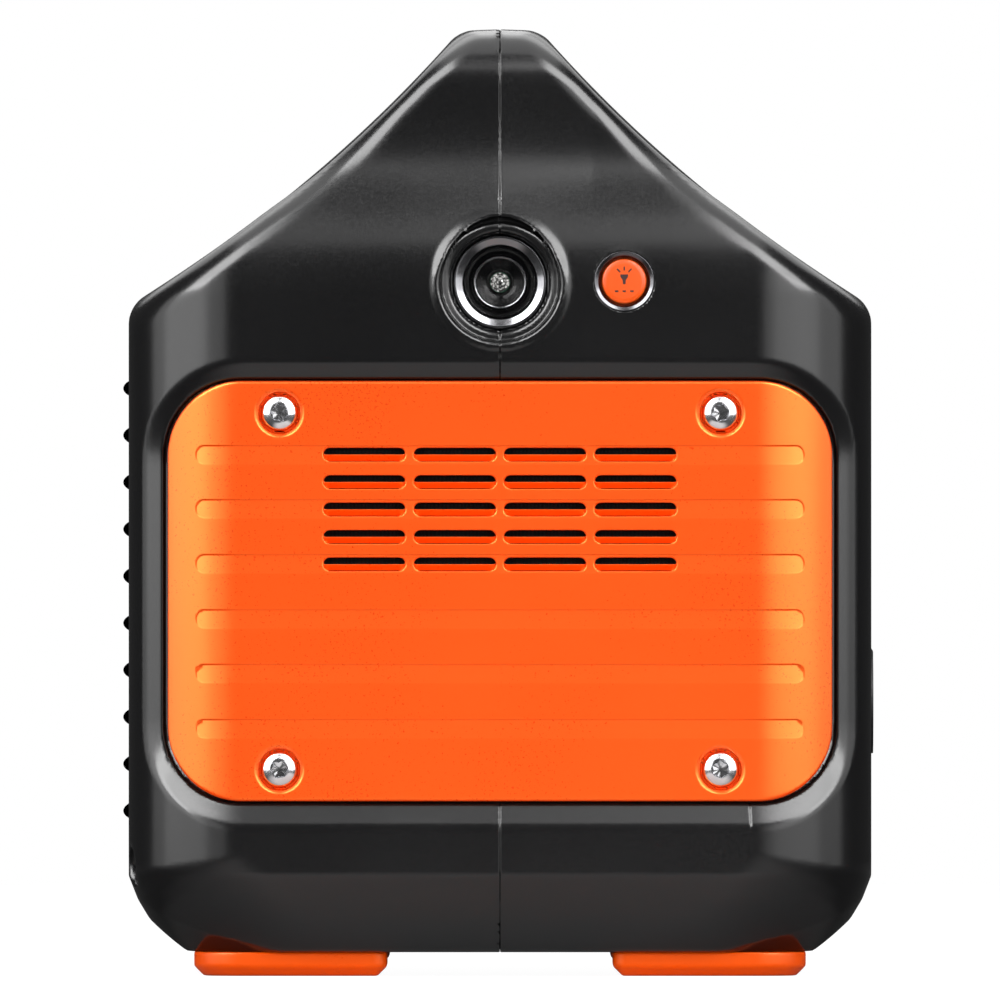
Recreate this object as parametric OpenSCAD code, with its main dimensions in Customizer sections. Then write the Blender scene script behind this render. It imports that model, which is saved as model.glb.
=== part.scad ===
// Portable power station: a lithium battery pack in a two-part moulded casing with a
// carry handle moulded into its ridge, a lamp and its button in one end, a vented
// orange plate on each end, four orange feet and a control panel on one long side.
// Origin: centre of the footprint at the underside of the feet. +Z up. The lamp end
// faces -Y, the control panel faces +X, and the ribbed back wall faces -X.

/* [Casing] */
// Width of the casing from wall to wall, without ribs (mm)
body_w = 190; // [186:1:194]
// Length of the casing from end face to end face (mm)
body_l = 301; // [297:1:305]
// Height from the underside of the feet to the top of the handle (mm)
body_h = 242; // [240:1:246]
// Wall thickness of the moulded casing (mm)
wall = 3; // [2.5:0.1:3.2]
// Radius of the upright corners (mm)
corner_r = 30; // [28:1:31]
// Radius where the side walls turn into the sloping flanks (mm)
shoulder_r = 11; // [9:1:13]
// Radius along the top of the ridge (mm)
ridge_r = 8; // [7:0.5:9]
// Height of the roof under the handle (mm)
roof_z = 180; // [178:1:182]
// Height of the handle's underside (mm)
grip_z = 219; // [217:1:221]
// Half width of the grip at the middle of its length (mm)
grip_half_w = 16; // [15:0.5:20]

/* [End plates] */
// Width of an end plate (mm)
plate_w = 170.4; // [166:0.2:172]
// Height of an end plate (mm)
plate_h = 107.3; // [104:0.1:108]
// Corner radius of an end plate (mm)
plate_r = 19; // [16:0.5:22]
// Thickness of an end plate (mm)
plate_t = 2.6; // [2.2:0.1:2.8]
// Distance of the screws from the middle of the plate, sideways (mm)
plate_screw_x = 56.3; // [54:0.1:58]
// Distance of the screws from the middle of the plate, up and down (mm)
plate_screw_z = 45.5; // [44:0.1:46]
// Length of a vent slot (mm)
slot_l = 21; // [18:0.5:22]
// Height of a vent slot (mm)
slot_h = 3.45; // [3:0.05:3.8]

/* [Back wall] */
// Number of ribs on the back wall
rib_count = 10; // [6:1:10]
// Distance from rib to rib (mm)
rib_pitch = 12.02; // [11.5:0.01:12.1]
// How far a rib stands out of the wall (mm)
rib_out = 1.5; // [1:0.1:1.5]

/* [Lamp] */
// Height of the lamp's axis (mm)
lamp_z = 177.2; // [176.5:0.1:178]
// Radius of the crater around the lamp at the face (mm)
crater_r = 17.8; // [17:0.1:18.2]
// Sideways place of the lamp button (mm)
lamp_button_x = 31.7; // [31.4:0.1:33]
// Radius of a button cap (mm)
button_r = 5.7; // [5:0.1:6]
// Travel of a button (mm)
button_travel = 1; // [0.6:0.1:1]

/* [Control panel] */
// Length of the control panel (mm)
panel_l = 232; // [230:1:233]
// Height of the control panel (mm)
panel_h = 112; // [111:1:113]
// Inner radius of the 12 V socket (mm)
socket_r = 10.5; // [10.4:0.05:10.6]

/* [Feet] */
// Width of a foot (mm)
foot_w = 49.4; // [44:0.1:52]
// Length of a foot (mm)
foot_l = 40; // [30:1:44]
// Height of the feet, which is the gap under the casing (mm)
foot_h = 6.1; // [5.5:0.1:7]

/* [Battery] */
// Cells along the length
cells_y = 9; // [5:1:9]
// Cells up the height
cells_z = 6; // [3:1:6]
// Distance from cell to cell (mm)
cell_pitch = 19.5; // [19.2:0.1:19.6]

/* [Hidden] */
hw = body_w / 2;
hl = body_l / 2;
zb = foot_h;
orange = [0.99, 0.35, 0.07];
dark = [0.13, 0.13, 0.14];
black = [0.05, 0.05, 0.055];
steel = [0.75, 0.76, 0.78];
brass = [0.80, 0.63, 0.28];
green = [0.05, 0.30, 0.16];

// flank of the ridge: one long hollow arc
flank_r = 352.2;
flank_x = hw + 180.4;
flank_z = body_h + 231.8;
lean = 13.3;                       // how far the pier's end face leans in
end_top_r = 15;                    // radius over the top of the pier
win_y0 = 84;                       // half length of the handle opening at the roof
win_y1 = 78;                       // and under the grip
win_r = 14;
scallop_r = 150;
plate_z = 98.35;                   // middle of the end plates
plate_back = 1.2 + plate_t;        // pocket floor below the end face
bezel_w = plate_w + 11.6;
bezel_h = plate_h + 11.2;
bezel_z = plate_z - 0.7;
slot_x = [-34.6, -11.5, 11.5, 34.6];
slot_z = [133.2, 126.2, 119.2, 112.2, 105.2];
rib_top = 150.2;
rib_half = 112;
lamp_button_z = 177.4;
bar_z = [133.1, 119.3, 105.3, 91.2, 77.3, 63.2];
case_screws_yz = [[-125, 28], [125, 28], [-112, 168], [112, 168]];
foot_x = 53.5;
foot_y = 118;

panel_z = 98;
px0 = hw - 3;                      // back of the panel, on its ledge
px1 = hw - 0.8;                    // face of the panel
board_x = 76;                      // back of the control board
ac_y = -72; ac_z = 76; ac_w = 78; ac_h = 44;
car_y = -2; car_z = 68.6;
dc_yz = [[30, 60], [30, 80]];
usb_yz = [[62, 90], [62, 75], [62, 60]];
usbc_yz = [88, 90];
in_yz = [90, 64];
win_w = 80; win_h = 34; win_z = 133;
btn_z = 133;
ac_btn_y = -84; disp_btn_y = -56; dc_btn_y = 58; usb_btn_y = 88;
panel_btns = [ac_btn_y, disp_btn_y, dc_btn_y, usb_btn_y];
hinge_x = px1 + 0.95; hinge_z = 82.2;
standoffs = [[-106, 144], [106, 144], [-106, 49.9], [106, 49.9]];
panel_screws_yz = [[-114, 70], [-114, 126], [114, 70], [114, 126],
                   [-60, 44], [60, 44], [-60, 152], [60, 152]];

cell_r = 9.15; cell_x0 = -86; cell_x1 = -20.8; cell_z0 = 30;
fan_z = 119.2; fan_half = 35; fan_y0 = -(hl - 7); fan_t = 15;
inv_x = -6;

$fn = 40;

function arc(cx, cy, r, a0, a1, n) =
  [for (i = [0 : n]) let (a = a0 + (a1 - a0) * i / n) [cx + r * cos(a), cy + r * sin(a)]];
function flip(p) = [for (i = [len(p) - 1 : -1 : 0]) [-p[i][0], p[i][1]]];
function base(h) = [[h - 12.7, zb], [h - 9.9, zb + 3.1], [h - 5.3, zb + 8.2],
                    [h - 2.3, zb + 13.3], [h, zb + 19.4]];

// ---------- outlines ----------

module rr(w, h, r) { offset(r = r) square([w - 2 * r, h - 2 * r], center = true); }

// cross-section of the casing, seen from the lamp end
sh_z = flank_z - sqrt(pow(flank_r + shoulder_r, 2) - pow(flank_x - hw + shoulder_r, 2));
sh_a = atan2(flank_z - sh_z, flank_x - hw + shoulder_r);
rt_x = flank_x - sqrt(pow(flank_r + ridge_r, 2) - pow(flank_z - body_h + ridge_r, 2));
rt_a = atan2(flank_z - body_h + ridge_r, flank_x - rt_x);
side_half = concat(base(hw),
  arc(hw - shoulder_r, sh_z, shoulder_r, 0, sh_a, 5),
  arc(flank_x, flank_z, flank_r, 180 + sh_a - 1.6, 180 + rt_a + 0.6, 8),
  arc(rt_x, body_h - ridge_r, ridge_r, rt_a, 90, 4));
module side_profile() { polygon(concat(side_half, flip(side_half))); }

// lengthwise section of the casing
end_half = concat(base(hl),
  [for (i = [0 : 8]) let (t = i / 8)
     [hl - lean * (1 - cos(180 * t)) / 2, 178 + (body_h - end_top_r - 178) * t]],
  arc(hl - lean - end_top_r, body_h - end_top_r, end_top_r, 15, 90, 4));
module end_profile() { polygon(concat(end_half, flip(end_half))); }

module window_profile() {
  offset(r = win_r) offset(delta = -win_r)
    polygon([[-win_y0, roof_z], [win_y0, roof_z], [win_y1, grip_z], [-win_y1, grip_z]]);
}

module along_y(y0, y1) { translate([0, y1, 0]) rotate([90, 0, 0]) linear_extrude(y1 - y0) children(); }
module along_x(x0, x1) { translate([x0, 0, 0]) rotate([90, 0, 90]) linear_extrude(x1 - x0) children(); }
module tube_y(x, z, r, y0, y1) { translate([x, y0, z]) rotate([-90, 0, 0]) cylinder(r = r, h = y1 - y0); }
module tube_x(y, z, r, x0, x1) { translate([x0, y, z]) rotate([0, 90, 0]) cylinder(r = r, h = x1 - x0); }
module tube_z(x, y, r, z0, z1) { translate([x, y, z0]) cylinder(r = r, h = z1 - z0); }
module box(a, b) { translate(a) cube([b[0] - a[0], b[1] - a[1], b[2] - a[2]]); }

// ---------- casing ----------

module half_space(s) { box([s > 0 ? 0 : -200, -200, -10], [s > 0 ? 200 : 0, 200, 300]); }

module outer_half(s) {
  intersection() {
    half_space(s);
    translate([0, 0, zb]) linear_extrude(body_h - zb) rr(body_w, body_l, corner_r);
    along_y(-hl, hl) side_profile();
    along_x(-hw, hw) end_profile();
  }
}

module grip_scallops(grow) {
  for (s = [-1, 1])
    tube_z(s * (grip_half_w + scallop_r), 0, scallop_r + grow, grip_z - 7 - grow, 260);
}

module cavity_half(s) {
  difference() {
    intersection() {
      half_space(s);
      translate([0, 0, zb + wall]) linear_extrude(body_h) rr(body_w - 2 * wall, body_l - 14, corner_r + 2);
      along_y(-hl, hl) offset(delta = -wall) side_profile();
      along_x(-hw, hw) offset(delta = -wall) end_profile();
    }
    along_x(-hw, hw) offset(delta = wall) window_profile();
    grip_scallops(wall);
  }
}

// the pocket and the set-back rim around one end plate
module end_pocket() {
  difference() {
    union() {
      intersection() {
        along_y(-hl - 1, -hl + 25) translate([0, bezel_z]) rr(bezel_w, bezel_h, plate_r + 6);
        difference() {
          box([-hw - 1, -hl - 1, 20], [hw + 1, -hl + 25, 170]);
          translate([0, 0, 10]) linear_extrude(170) offset(delta = -1.6) rr(body_w, body_l, corner_r);
        }
      }
      along_y(-hl - 1, -hl + 25) translate([0, plate_z]) rr(plate_w + 1, plate_h + 1, plate_r + 0.5);
    }
    translate([0, 0, 10]) linear_extrude(170) offset(delta = -plate_back) rr(body_w, body_l, corner_r);
  }
}

module lamp_crater() {
  translate([0, -hl, lamp_z]) rotate([-90, 0, 0]) rotate_extrude($fn = 72)
    polygon([[0, -2], [crater_r + 0.6, -2], [crater_r, 0], [crater_r - 1.1, 0.9], [crater_r - 2.2, 2.3],
             [15, 2.4], [15, 3.6], [12.6, 4.2], [12.6, 4.6], [12, 4.6], [12, 20], [0, 20]]);
}

module casing_half(s) {
  difference() {
    union() {
      difference() { outer_half(s); cavity_half(s); }
      intersection() {
        outer_half(s);
        union() {
          tube_y(0, lamp_z, 20.6, -hl, -hl + 18.5);
          if (s > 0) tube_y(lamp_button_x, lamp_button_z, 9.6, -hl, -hl + 8);
          for (e = [-1, 1], z = [-1, 1])
            tube_y(s * plate_screw_x, plate_z + z * plate_screw_z, 5.5,
                   e < 0 ? -hl + plate_back : hl - plate_back - 14, e < 0 ? -hl + plate_back + 14 : hl - plate_back);
          for (p = case_screws_yz) tube_x(p[0], p[1], 6, s > 0 ? 0 : -hw + 1, s > 0 ? hw - 1 : 0);
          for (y = [-foot_y, foot_y]) tube_z(s * foot_x, y, 5, zb, zb + 10);
          if (s > 0) along_x(hw - 6.5, hw - wall) translate([0, panel_z]) rr(panel_l + 12, panel_h + 12, 14);
        }
      }
    }
    along_x(-hw - 1, hw + 1) window_profile();
    grip_scallops(0);
    end_pocket();
    mirror([0, 1, 0]) end_pocket();
    lamp_crater();
    // vents and plate screws
    for (e = [0, 1]) mirror([0, e, 0]) {
      along_y(-hl, -hl + 9) translate([0, fan_z]) rr(94, 36, 4);
      for (z = [-1, 1]) tube_y(s * plate_screw_x, plate_z + z * plate_screw_z, 2.05, -hl, -hl + plate_back + 12);
    }
    // feet
    for (y = [-foot_y, foot_y]) tube_z(s * foot_x, y, 2.05, zb - 1, zb + 9);
    // fan screws
    for (z = [-30.75, 30.75]) tube_y(s * 30.75, fan_z + z, 1.65, fan_y0 - 2.4, fan_y0 + 1);
    if (s > 0) {
      tube_y(lamp_button_x, lamp_button_z, 6.4, -hl - 1, -hl + 9);
      translate([lamp_button_x, -hl - 0.01, lamp_button_z]) rotate([-90, 0, 0]) cylinder(r1 = 7.9, r2 = 6.4, h = 1.4);
      along_x(hw - wall, hw + 1) translate([0, panel_z]) rr(panel_l + 0.6, panel_h + 0.6, 10.3);
      along_x(hw - 7, hw) translate([0, panel_z]) rr(panel_l - 8, panel_h - 8, 7);
      for (p = case_screws_yz) tube_x(p[0], p[1], 2.05, -1, 20);
      for (p = panel_screws_yz) tube_x(p[0], p[1], 1.6, hw - 7, hw);
    } else {
      for (p = case_screws_yz) {
        tube_x(p[0], p[1], 4.6, -hw - 1, -20);
        tube_x(p[0], p[1], 2.2, -21, 1);
      }
    }
  }
}

module housing_front() { color(dark) casing_half(1); }

module housing_rear() {
  color(dark) {
    union() {
      casing_half(-1);
      for (i = [0 : rib_count - 1])
        along_y(-rib_half, rib_half) translate([0, rib_top - i * rib_pitch])
          polygon([[-hw + 0.5, -2.2], [-hw, -1.9], [-hw - rib_out * 0.8, -1.1], [-hw - rib_out, -0.2],
                   [-hw - rib_out, 0.2], [-hw - rib_out * 0.8, 1.1], [-hw, 1.9], [-hw + 0.5, 2.2]]);
    }
  }
}

module case_screws() {
  color(steel) for (p = case_screws_yz) difference() {
    union() {
      tube_x(p[0], p[1], 4.2, -24, -20);
      tube_x(p[0], p[1], 2, -20, 18);
    }
    tube_x(p[0], p[1], 1.6, -25, -22);
  }
}

// ---------- end plates ----------

module end_plate() {
  difference() {
    intersection() {
      along_y(-hl, -hl + 25) translate([0, plate_z]) rr(plate_w, plate_h, plate_r);
      difference() {
        translate([0, 0, 10]) linear_extrude(170) offset(delta = -1.2) rr(body_w, body_l, corner_r);
        translate([0, 0, 9]) linear_extrude(172) offset(delta = -plate_back) rr(body_w, body_l, corner_r);
      }
    }
    for (x = slot_x, z = slot_z) {
      // the upper half of a slot goes through; a blade closes the lower half
      box([x - slot_l / 2 + slot_h / 2, -hl, z - slot_h / 2], [x + slot_l / 2 - slot_h / 2, -hl + 2.9, z + slot_h / 2]);
      for (e = [-1, 1]) tube_y(x + e * (slot_l - slot_h) / 2, z, slot_h / 2, -hl, -hl + 2.9);
      box([x - slot_l / 2 + 0.2, -hl, z], [x + slot_l / 2 - 0.2, -hl + 6, z + 0.7]);
      box([x - slot_l / 2 + slot_h / 2, -hl, z], [x + slot_l / 2 - slot_h / 2, -hl + 6, z + slot_h / 2]);
    }
    // six shallow pressed bars across the plate
    difference() {
      along_y(-hl, -hl + 24) for (z = bar_z) translate([0, z]) rr(157.2, 4.7, 2.3);
      translate([0, 0, 9]) linear_extrude(172) offset(delta = -1.55) rr(body_w, body_l, corner_r);
    }
    for (x = [-1, 1], z = [-1, 1]) {
      tube_y(x * plate_screw_x, plate_z + z * plate_screw_z, 2.2, -hl, -hl + 6);
      tube_y(x * plate_screw_x, plate_z + z * plate_screw_z, 5.55, -hl, -hl + 2.8);
    }
  }
}
module end_plate_lamp_end() { color(orange) end_plate(); }
module end_plate_far_end() { color(orange) mirror([0, 1, 0]) end_plate(); }

module plate_screws() {
  for (x = [-1, 1], z = [-1, 1]) translate([x * plate_screw_x, -hl + 2.8, plate_z + z * plate_screw_z])
    rotate([-90, 0, 0]) difference() {
      union() {
        rotate_extrude($fn = 48) polygon([[0, 0], [4.3, 0], [4.3, -0.6], [3.9, -1.3], [3.2, -1.8], [2.3, -2.1], [0, -2.2]]);
        cylinder(r = 2, h = 12);
      }
      translate([0, 0, -3]) cylinder(r = 1.95, h = 2.2, $fn = 6);
    }
}
module plate_screws_lamp_end() { color(steel) plate_screws(); }
module plate_screws_far_end() { color(steel) mirror([0, 1, 0]) plate_screws(); }

module dust_mesh() {
  along_y(-hl + plate_back, -hl + plate_back + 0.6) translate([0, fan_z]) difference() {
    rr(93.4, 35.4, 3.7);
    for (i = [-10 : 10], j = [-3 : 3]) translate([i * 4.2, j * 4.4]) square([3.2, 3.4], center = true);
  }
}
module dust_mesh_lamp_end() { color(black) dust_mesh(); }
module dust_mesh_far_end() { color(black) mirror([0, 1, 0]) dust_mesh(); }

// ---------- feet ----------

// one foot; its corner at +x +y follows the casing's corner
module foot() {
  w = foot_w / 2; l = foot_l / 2; c = 2.5; r = 13;
  difference() {
    intersection() {
      linear_extrude(foot_h) rr(foot_w, foot_l, 3.5);
      union() {
        box([-w - 1, -l - 1, -1], [w - r, l + 1, foot_h + 1]);
        box([-w - 1, -l - 1, -1], [w + 1, l - r, foot_h + 1]);
        translate([w - r, l - r, 0]) cylinder(r1 = r - c, r2 = r, h = c);
        tube_z(w - r, l - r, r, c, foot_h + 1);
      }
      along_y(-l, l) polygon([[-w + c, 0], [w - c, 0], [w, c], [w, foot_h], [-w, foot_h], [-w, c]]);
      along_x(-w, w) polygon([[-l + c, 0], [l - c, 0], [l, c], [l, foot_h], [-l, foot_h], [-l, c]]);
    }
    tube_z(0, 0, 4.4, -1, 3);
    tube_z(0, 0, 2.2, -1, 10);
  }
}
module feet() {
  color(orange) for (x = [0, 1], y = [0, 1])
    mirror([x, 0, 0]) mirror([0, y, 0]) translate([foot_x, foot_y, 0]) foot();
}
module foot_screws() {
  color(steel) for (x = [-1, 1], y = [-1, 1]) difference() {
    union() {
      tube_z(x * foot_x, y * foot_y, 4, 0.8, 3);
      tube_z(x * foot_x, y * foot_y, 2, 3, 14);
    }
    tube_z(x * foot_x, y * foot_y, 1.5, 0, 2);
  }
}

// ---------- lamp ----------

module lathe_y(x, y, z) { translate([x, y, z]) rotate([-90, 0, 0]) rotate_extrude($fn = 64) children(); }

module lamp_bezel() {
  color(steel) lathe_y(0, -hl, lamp_z)
    polygon([[9.4, 5.4], [10, 4.7], [11.4, 4.5], [11.9, 4.9], [11.9, 9], [9.4, 9]]);
}
module lamp_lens() { color([0.9, 0.93, 0.95, 0.4]) tube_y(0, lamp_z, 9.3, -hl + 5.8, -hl + 7.2); }
module lamp_reflector() {
  color(black) lathe_y(0, -hl, lamp_z)
    polygon([[9.3, 7.2], [9.3, 9], [11.9, 9], [11.9, 10], [8.4, 10], [6.8, 14], [2.6, 14], [2.6, 13.2],
             [3.2, 12.6], [3.4, 11.6], [6.3, 10.6], [6.65, 9.8], [7.3, 9.6], [8.7, 7.2]]);
}
module lamp_led() {
  color([0.95, 0.95, 0.85]) {
    lathe_y(0, -hl, lamp_z) polygon([[0, 12], [0.9, 12.15], [1.5, 12.6], [1.8, 13.3], [1.8, 14], [2.4, 14], [2.4, 14.6], [0, 14.6]]);
  }
}
module lamp_board() { color(green) tube_y(0, lamp_z, 11, -hl + 14.6, -hl + 16.2); }
module lamp_heatsink() {
  color(steel) difference() {
    tube_y(0, lamp_z, 11.8, -hl + 16.2, -hl + 26);
    for (i = [-3 : 3]) box([i * 3.2 - 0.9, -hl + 19, lamp_z - 13], [i * 3.2 + 0.9, -hl + 27, lamp_z + 13]);
  }
}

// button cap with a flange behind the wall, pressed towards +Z here
module cap(depth, r, stem) {
  rotate_extrude($fn = 56) polygon([[0, 0.2], [r - 0.7, 0.2], [r - 0.2, 0.4], [r, 0.9], [r, depth + 0.1], [r + 1.6, depth + 0.1],
                            [r + 1.6, depth + 1.3], [2.2, depth + 1.3], [2.2, depth + stem], [0, depth + stem]]);
}
module tact_switch() {
  translate([-3, -3, 1.2]) cube([6, 6, 3]);
  cylinder(r = 1.6, h = 1.2, $fn = 32);
}
// bright trim ring that lies in the conical seat around the button
module lamp_button_ring() {
  color(steel) translate([lamp_button_x, -hl, lamp_button_z]) rotate([-90, 0, 0]) rotate_extrude($fn = 96)
    polygon([[6.5, 1.1], [6.5, 0.4], [6.75, 0.1], [7.3, -0.1], [7.7, -0.1], [7.8, 0], [6.65, 1.1]]);
}
module lamp_button() { color(orange) translate([lamp_button_x, -hl, lamp_button_z]) rotate([-90, 0, 0]) cap(8, button_r, 3); }
module lamp_switch() {
  color(green) translate([lamp_button_x, -hl + 11.1 + button_travel, lamp_button_z]) rotate([-90, 0, 0]) {
    tact_switch();
    translate([-8, -8, 4.2]) cube([16, 16, 1.6]);
  }
}

// ---------- control panel ----------

module control_panel() {
  color(black) difference() {
    union() {
      along_x(px0, px1) translate([0, panel_z]) rr(panel_l, panel_h, 10);
      for (p = standoffs) tube_x(p[0], p[1], 2.8, board_x + 1.6, px0);
      // lugs of the cover's hinge
      for (e = [-1, 1]) {
        translate([hinge_x, car_y + e * 5 - 1.4, hinge_z]) rotate([-90, 0, 0]) cylinder(r = 1.3, h = 2.8);
        box([px1 - 1, car_y + e * 5 - 1.4, hinge_z - 1.3], [hinge_x, car_y + e * 5 + 1.4, hinge_z + 1.3]);
      }
    }
    // display: a pocket for the window and the opening behind it
    along_x(px1 - 1.3, px1 + 1) translate([0, win_z]) rr(win_w + 0.4, win_h + 0.4, 3.2);
    along_x(px0 - 1, px1) translate([0, win_z]) rr(win_w - 6, win_h - 6, 2);
    along_x(px0 - 1, px1 + 1) translate([ac_y, ac_z]) rr(ac_w + 0.4, ac_h + 0.4, 5.2);
    for (y = panel_btns) tube_x(y, btn_z, button_r + 0.3, px0 - 1, px1 + 1);
    tube_x(car_y, car_z, 11.9, px0 - 1, px1 + 1);
    for (p = dc_yz) tube_x(p[0], p[1], 4.45, px0 - 1, px1 + 1);
    tube_x(in_yz[0], in_yz[1], 6.05, px0 - 1, px1 + 1);
    for (p = usb_yz) box([px0 - 1, p[0] - 6.75, p[1] - 3.05], [px1 + 1, p[0] + 6.75, p[1] + 3.05]);
    along_x(px0 - 1, px1 + 1) translate(usbc_yz) rr(9.1, 3.4, 1.65);
    // relief behind the cover's knuckle, and the pin's hole
    box([px1 - 0.7, car_y - 3.4, hinge_z - 1.7], [px1 + 3, car_y + 3.4, hinge_z + 1.7]);
    translate([hinge_x, car_y - 7, hinge_z]) rotate([-90, 0, 0]) cylinder(r = 0.62, h = 14, $fn = 32);
    for (p = panel_screws_yz) tube_x(p[0], p[1], 1.25, px0 - 1, px1 - 0.7);
  }
}
module panel_screws() {
  color(steel) for (p = panel_screws_yz) {
    tube_x(p[0], p[1], 2.5, hw - 8.5, hw - 6.5);
    tube_x(p[0], p[1], 1.2, hw - 6.5, px1 - 0.8);
  }
}
module display_window() { color([0.05, 0.06, 0.08, 0.6]) along_x(px1 - 1.3, px1 - 0.1) translate([0, win_z]) rr(win_w, win_h, 3); }
module display_module() {
  color([0.1, 0.2, 0.3]) {
    along_x(px0 - 5, px0) translate([0, win_z]) rr(win_w - 2, win_h - 2, 1);
    for (y = [-30, 30]) tube_x(y, win_z, 2, board_x + 1.6, px0 - 5);
  }
}
module panel_button(y) { translate([px1 + 0.75, y, btn_z]) rotate([0, -90, 0]) cap(3, button_r, 3); }
module ac_button() { color(orange) panel_button(ac_btn_y); }
module dc_button() { color(orange) panel_button(dc_btn_y); }
module usb_button() { color(orange) panel_button(usb_btn_y); }
module display_button() { color(orange) panel_button(disp_btn_y); }
module panel_switches() {
  color(black) for (y = panel_btns) translate([px1 - 5.35 - button_travel, y, btn_z]) rotate([0, -90, 0]) {
    tact_switch();
    translate([-2, -2, 4.2]) cube([4, 4, px1 - 5.35 - button_travel - 4.2 - board_x - 1.6]);
  }
}
module control_board() {
  color(green) difference() {
    box([board_x, -110, 46.5], [board_x + 1.6, 110, 149.5]);
    box([board_x - 1, ac_y - ac_w / 2 - 1, ac_z - ac_h / 2 - 1], [board_x + 3, ac_y + ac_w / 2 + 1, ac_z + ac_h / 2 + 1]);
    tube_x(car_y, car_z, 13, board_x - 1, board_x + 3);
  }
}

// ---------- mains outlets ----------

module ac_outlet_body() {
  color([0.12, 0.12, 0.13]) difference() {
    along_x(68, px1 + 0.6) translate([ac_y, ac_z]) rr(ac_w, ac_h, 5);
    for (e = [-19, 19]) translate([0, ac_y + e, ac_z + 3]) {
      box([70, -6.35 - 2, -4.6], [px1 - 2, -6.35 + 2, 4.6]);
      box([70, 6.35 - 2, -4.6], [px1 - 2, 6.35 + 2, 4.6]);
      box([69, -6.35 - 1.1, -4.2], [px1 + 2, -6.35 + 1.1, 4.2]);
      box([69, 6.35 - 1.1, -3.5], [px1 + 2, 6.35 + 1.1, 3.5]);
      tube_x(0, -11.9, 2.5, 70, px1 + 2);
      tube_x(0, -11.9, 3.2, 70, px1 - 2);
    }
  }
}
module ac_contacts() {
  color(brass) for (e = [-19, 19]) translate([0, ac_y + e, ac_z + 3]) {
    for (s = [-1, 1]) difference() {
      box([70, s * 6.35 - 1.7, -3.4], [px1 - 5, s * 6.35 + 1.7, 3.4]);
      box([74, s * 6.35 - 0.8, -5], [px1 - 4, s * 6.35 + 0.8, 5]);
    }
    difference() {
      tube_x(0, -11.9, 3, 70, px1 - 4);
      tube_x(0, -11.9, 2.45, 73, px1 - 3);
    }
  }
}

// ---------- 12 V socket ----------

module car_socket_shell() {
  color(steel) difference() {
    union() {
      tube_x(car_y, car_z, 11.8, px1 - 37, px1);
      tube_x(car_y, car_z, 12.2, px1, px1 + 0.7);
    }
    tube_x(car_y, car_z, socket_r, px1 - 34.5, px1 + 2);
    tube_x(car_y, car_z, 8.5, px1 - 38, px1 - 34);
  }
}
module car_socket_insulator() {
  color(black) difference() {
    tube_x(car_y, car_z, 8.45, px1 - 37, px1 - 34.5);
    tube_x(car_y, car_z, 3, px1 - 38, px1 - 33);
  }
}
module car_socket_contact() {
  color(brass) {
    tube_x(car_y, car_z, 2.95, px1 - 37, px1 - 34.5);
    tube_x(car_y, car_z, 1.5, px1 - 44, px1 - 37);
  }
}
module car_socket_cover() {
  color(black) difference() {
    union() {
      tube_x(car_y, car_z, 12.5, px1 + 1, px1 + 2.3);
      box([px1 + 1, car_y - 3.2, car_z + 8], [px1 + 2.3, car_y + 3.2, hinge_z]);
      translate([hinge_x, car_y - 3.2, hinge_z]) rotate([-90, 0, 0]) cylinder(r = 1.3, h = 6.4);
    }
    translate([hinge_x, car_y - 7, hinge_z]) rotate([-90, 0, 0]) cylinder(r = 0.67, h = 14, $fn = 32);
    // finger notch at the lower edge
    tube_x(car_y, car_z - 15.5, 4, px1, px1 + 1.7);
  }
}
module cover_hinge_pin() { color(steel) translate([hinge_x, car_y - 6.2, hinge_z]) rotate([-90, 0, 0]) cylinder(r = 0.6, h = 12.4, $fn = 32); }

// ---------- low-voltage sockets ----------

module dc_output_sockets() {
  color(black) for (p = dc_yz) difference() {
    union() {
      tube_x(p[0], p[1], 4.4, board_x + 1.6, px1);
      tube_x(p[0], p[1], 5.6, px1, px1 + 0.8);
    }
    tube_x(p[0], p[1], 2.85, board_x + 4, px1 + 2);
  }
}
module dc_output_pins() { color(steel) for (p = dc_yz) tube_x(p[0], p[1], 1.05, board_x + 4, px1 - 1); }
module dc_input_socket() {
  color(black) difference() {
    union() {
      tube_x(in_yz[0], in_yz[1], 6, board_x + 1.6, px1);
      tube_x(in_yz[0], in_yz[1], 7.4, px1, px1 + 0.8);
    }
    tube_x(in_yz[0], in_yz[1], 4, board_x + 4, px1 + 2);
  }
}
module dc_input_pin() { color(steel) tube_x(in_yz[0], in_yz[1], 0.6, board_x + 4, px1 - 2); }
module usb_shells() {
  color(steel) {
    for (p = usb_yz) difference() {
      box([board_x + 1.6, p[0] - 6.6, p[1] - 2.9], [px1, p[0] + 6.6, p[1] + 2.9]);
      box([board_x + 3, p[0] - 6.25, p[1] - 2.55], [px1 + 1, p[0] + 6.25, p[1] + 2.55]);
    }
    difference() {
      along_x(board_x + 1.6, px1) translate(usbc_yz) rr(8.94, 3.2, 1.55);
      along_x(board_x + 3, px1 + 1) translate(usbc_yz) rr(8.34, 2.6, 1.25);
    }
  }
}
module usb_tongues() {
  color(black) {
    for (p = usb_yz) union() {
      box([board_x + 3, p[0] - 6.2, p[1] - 2.5], [board_x + 5, p[0] + 6.2, p[1] + 2.5]);
      box([board_x + 3, p[0] - 5.6, p[1] + 0.3], [px1 - 1, p[0] + 5.6, p[1] + 2.2]);
    }
    box([board_x + 3, usbc_yz[0] - 3.35, usbc_yz[1] - 0.35], [px1 - 1, usbc_yz[0] + 3.35, usbc_yz[1] + 0.35]);
  }
}

// ---------- battery ----------

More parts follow.
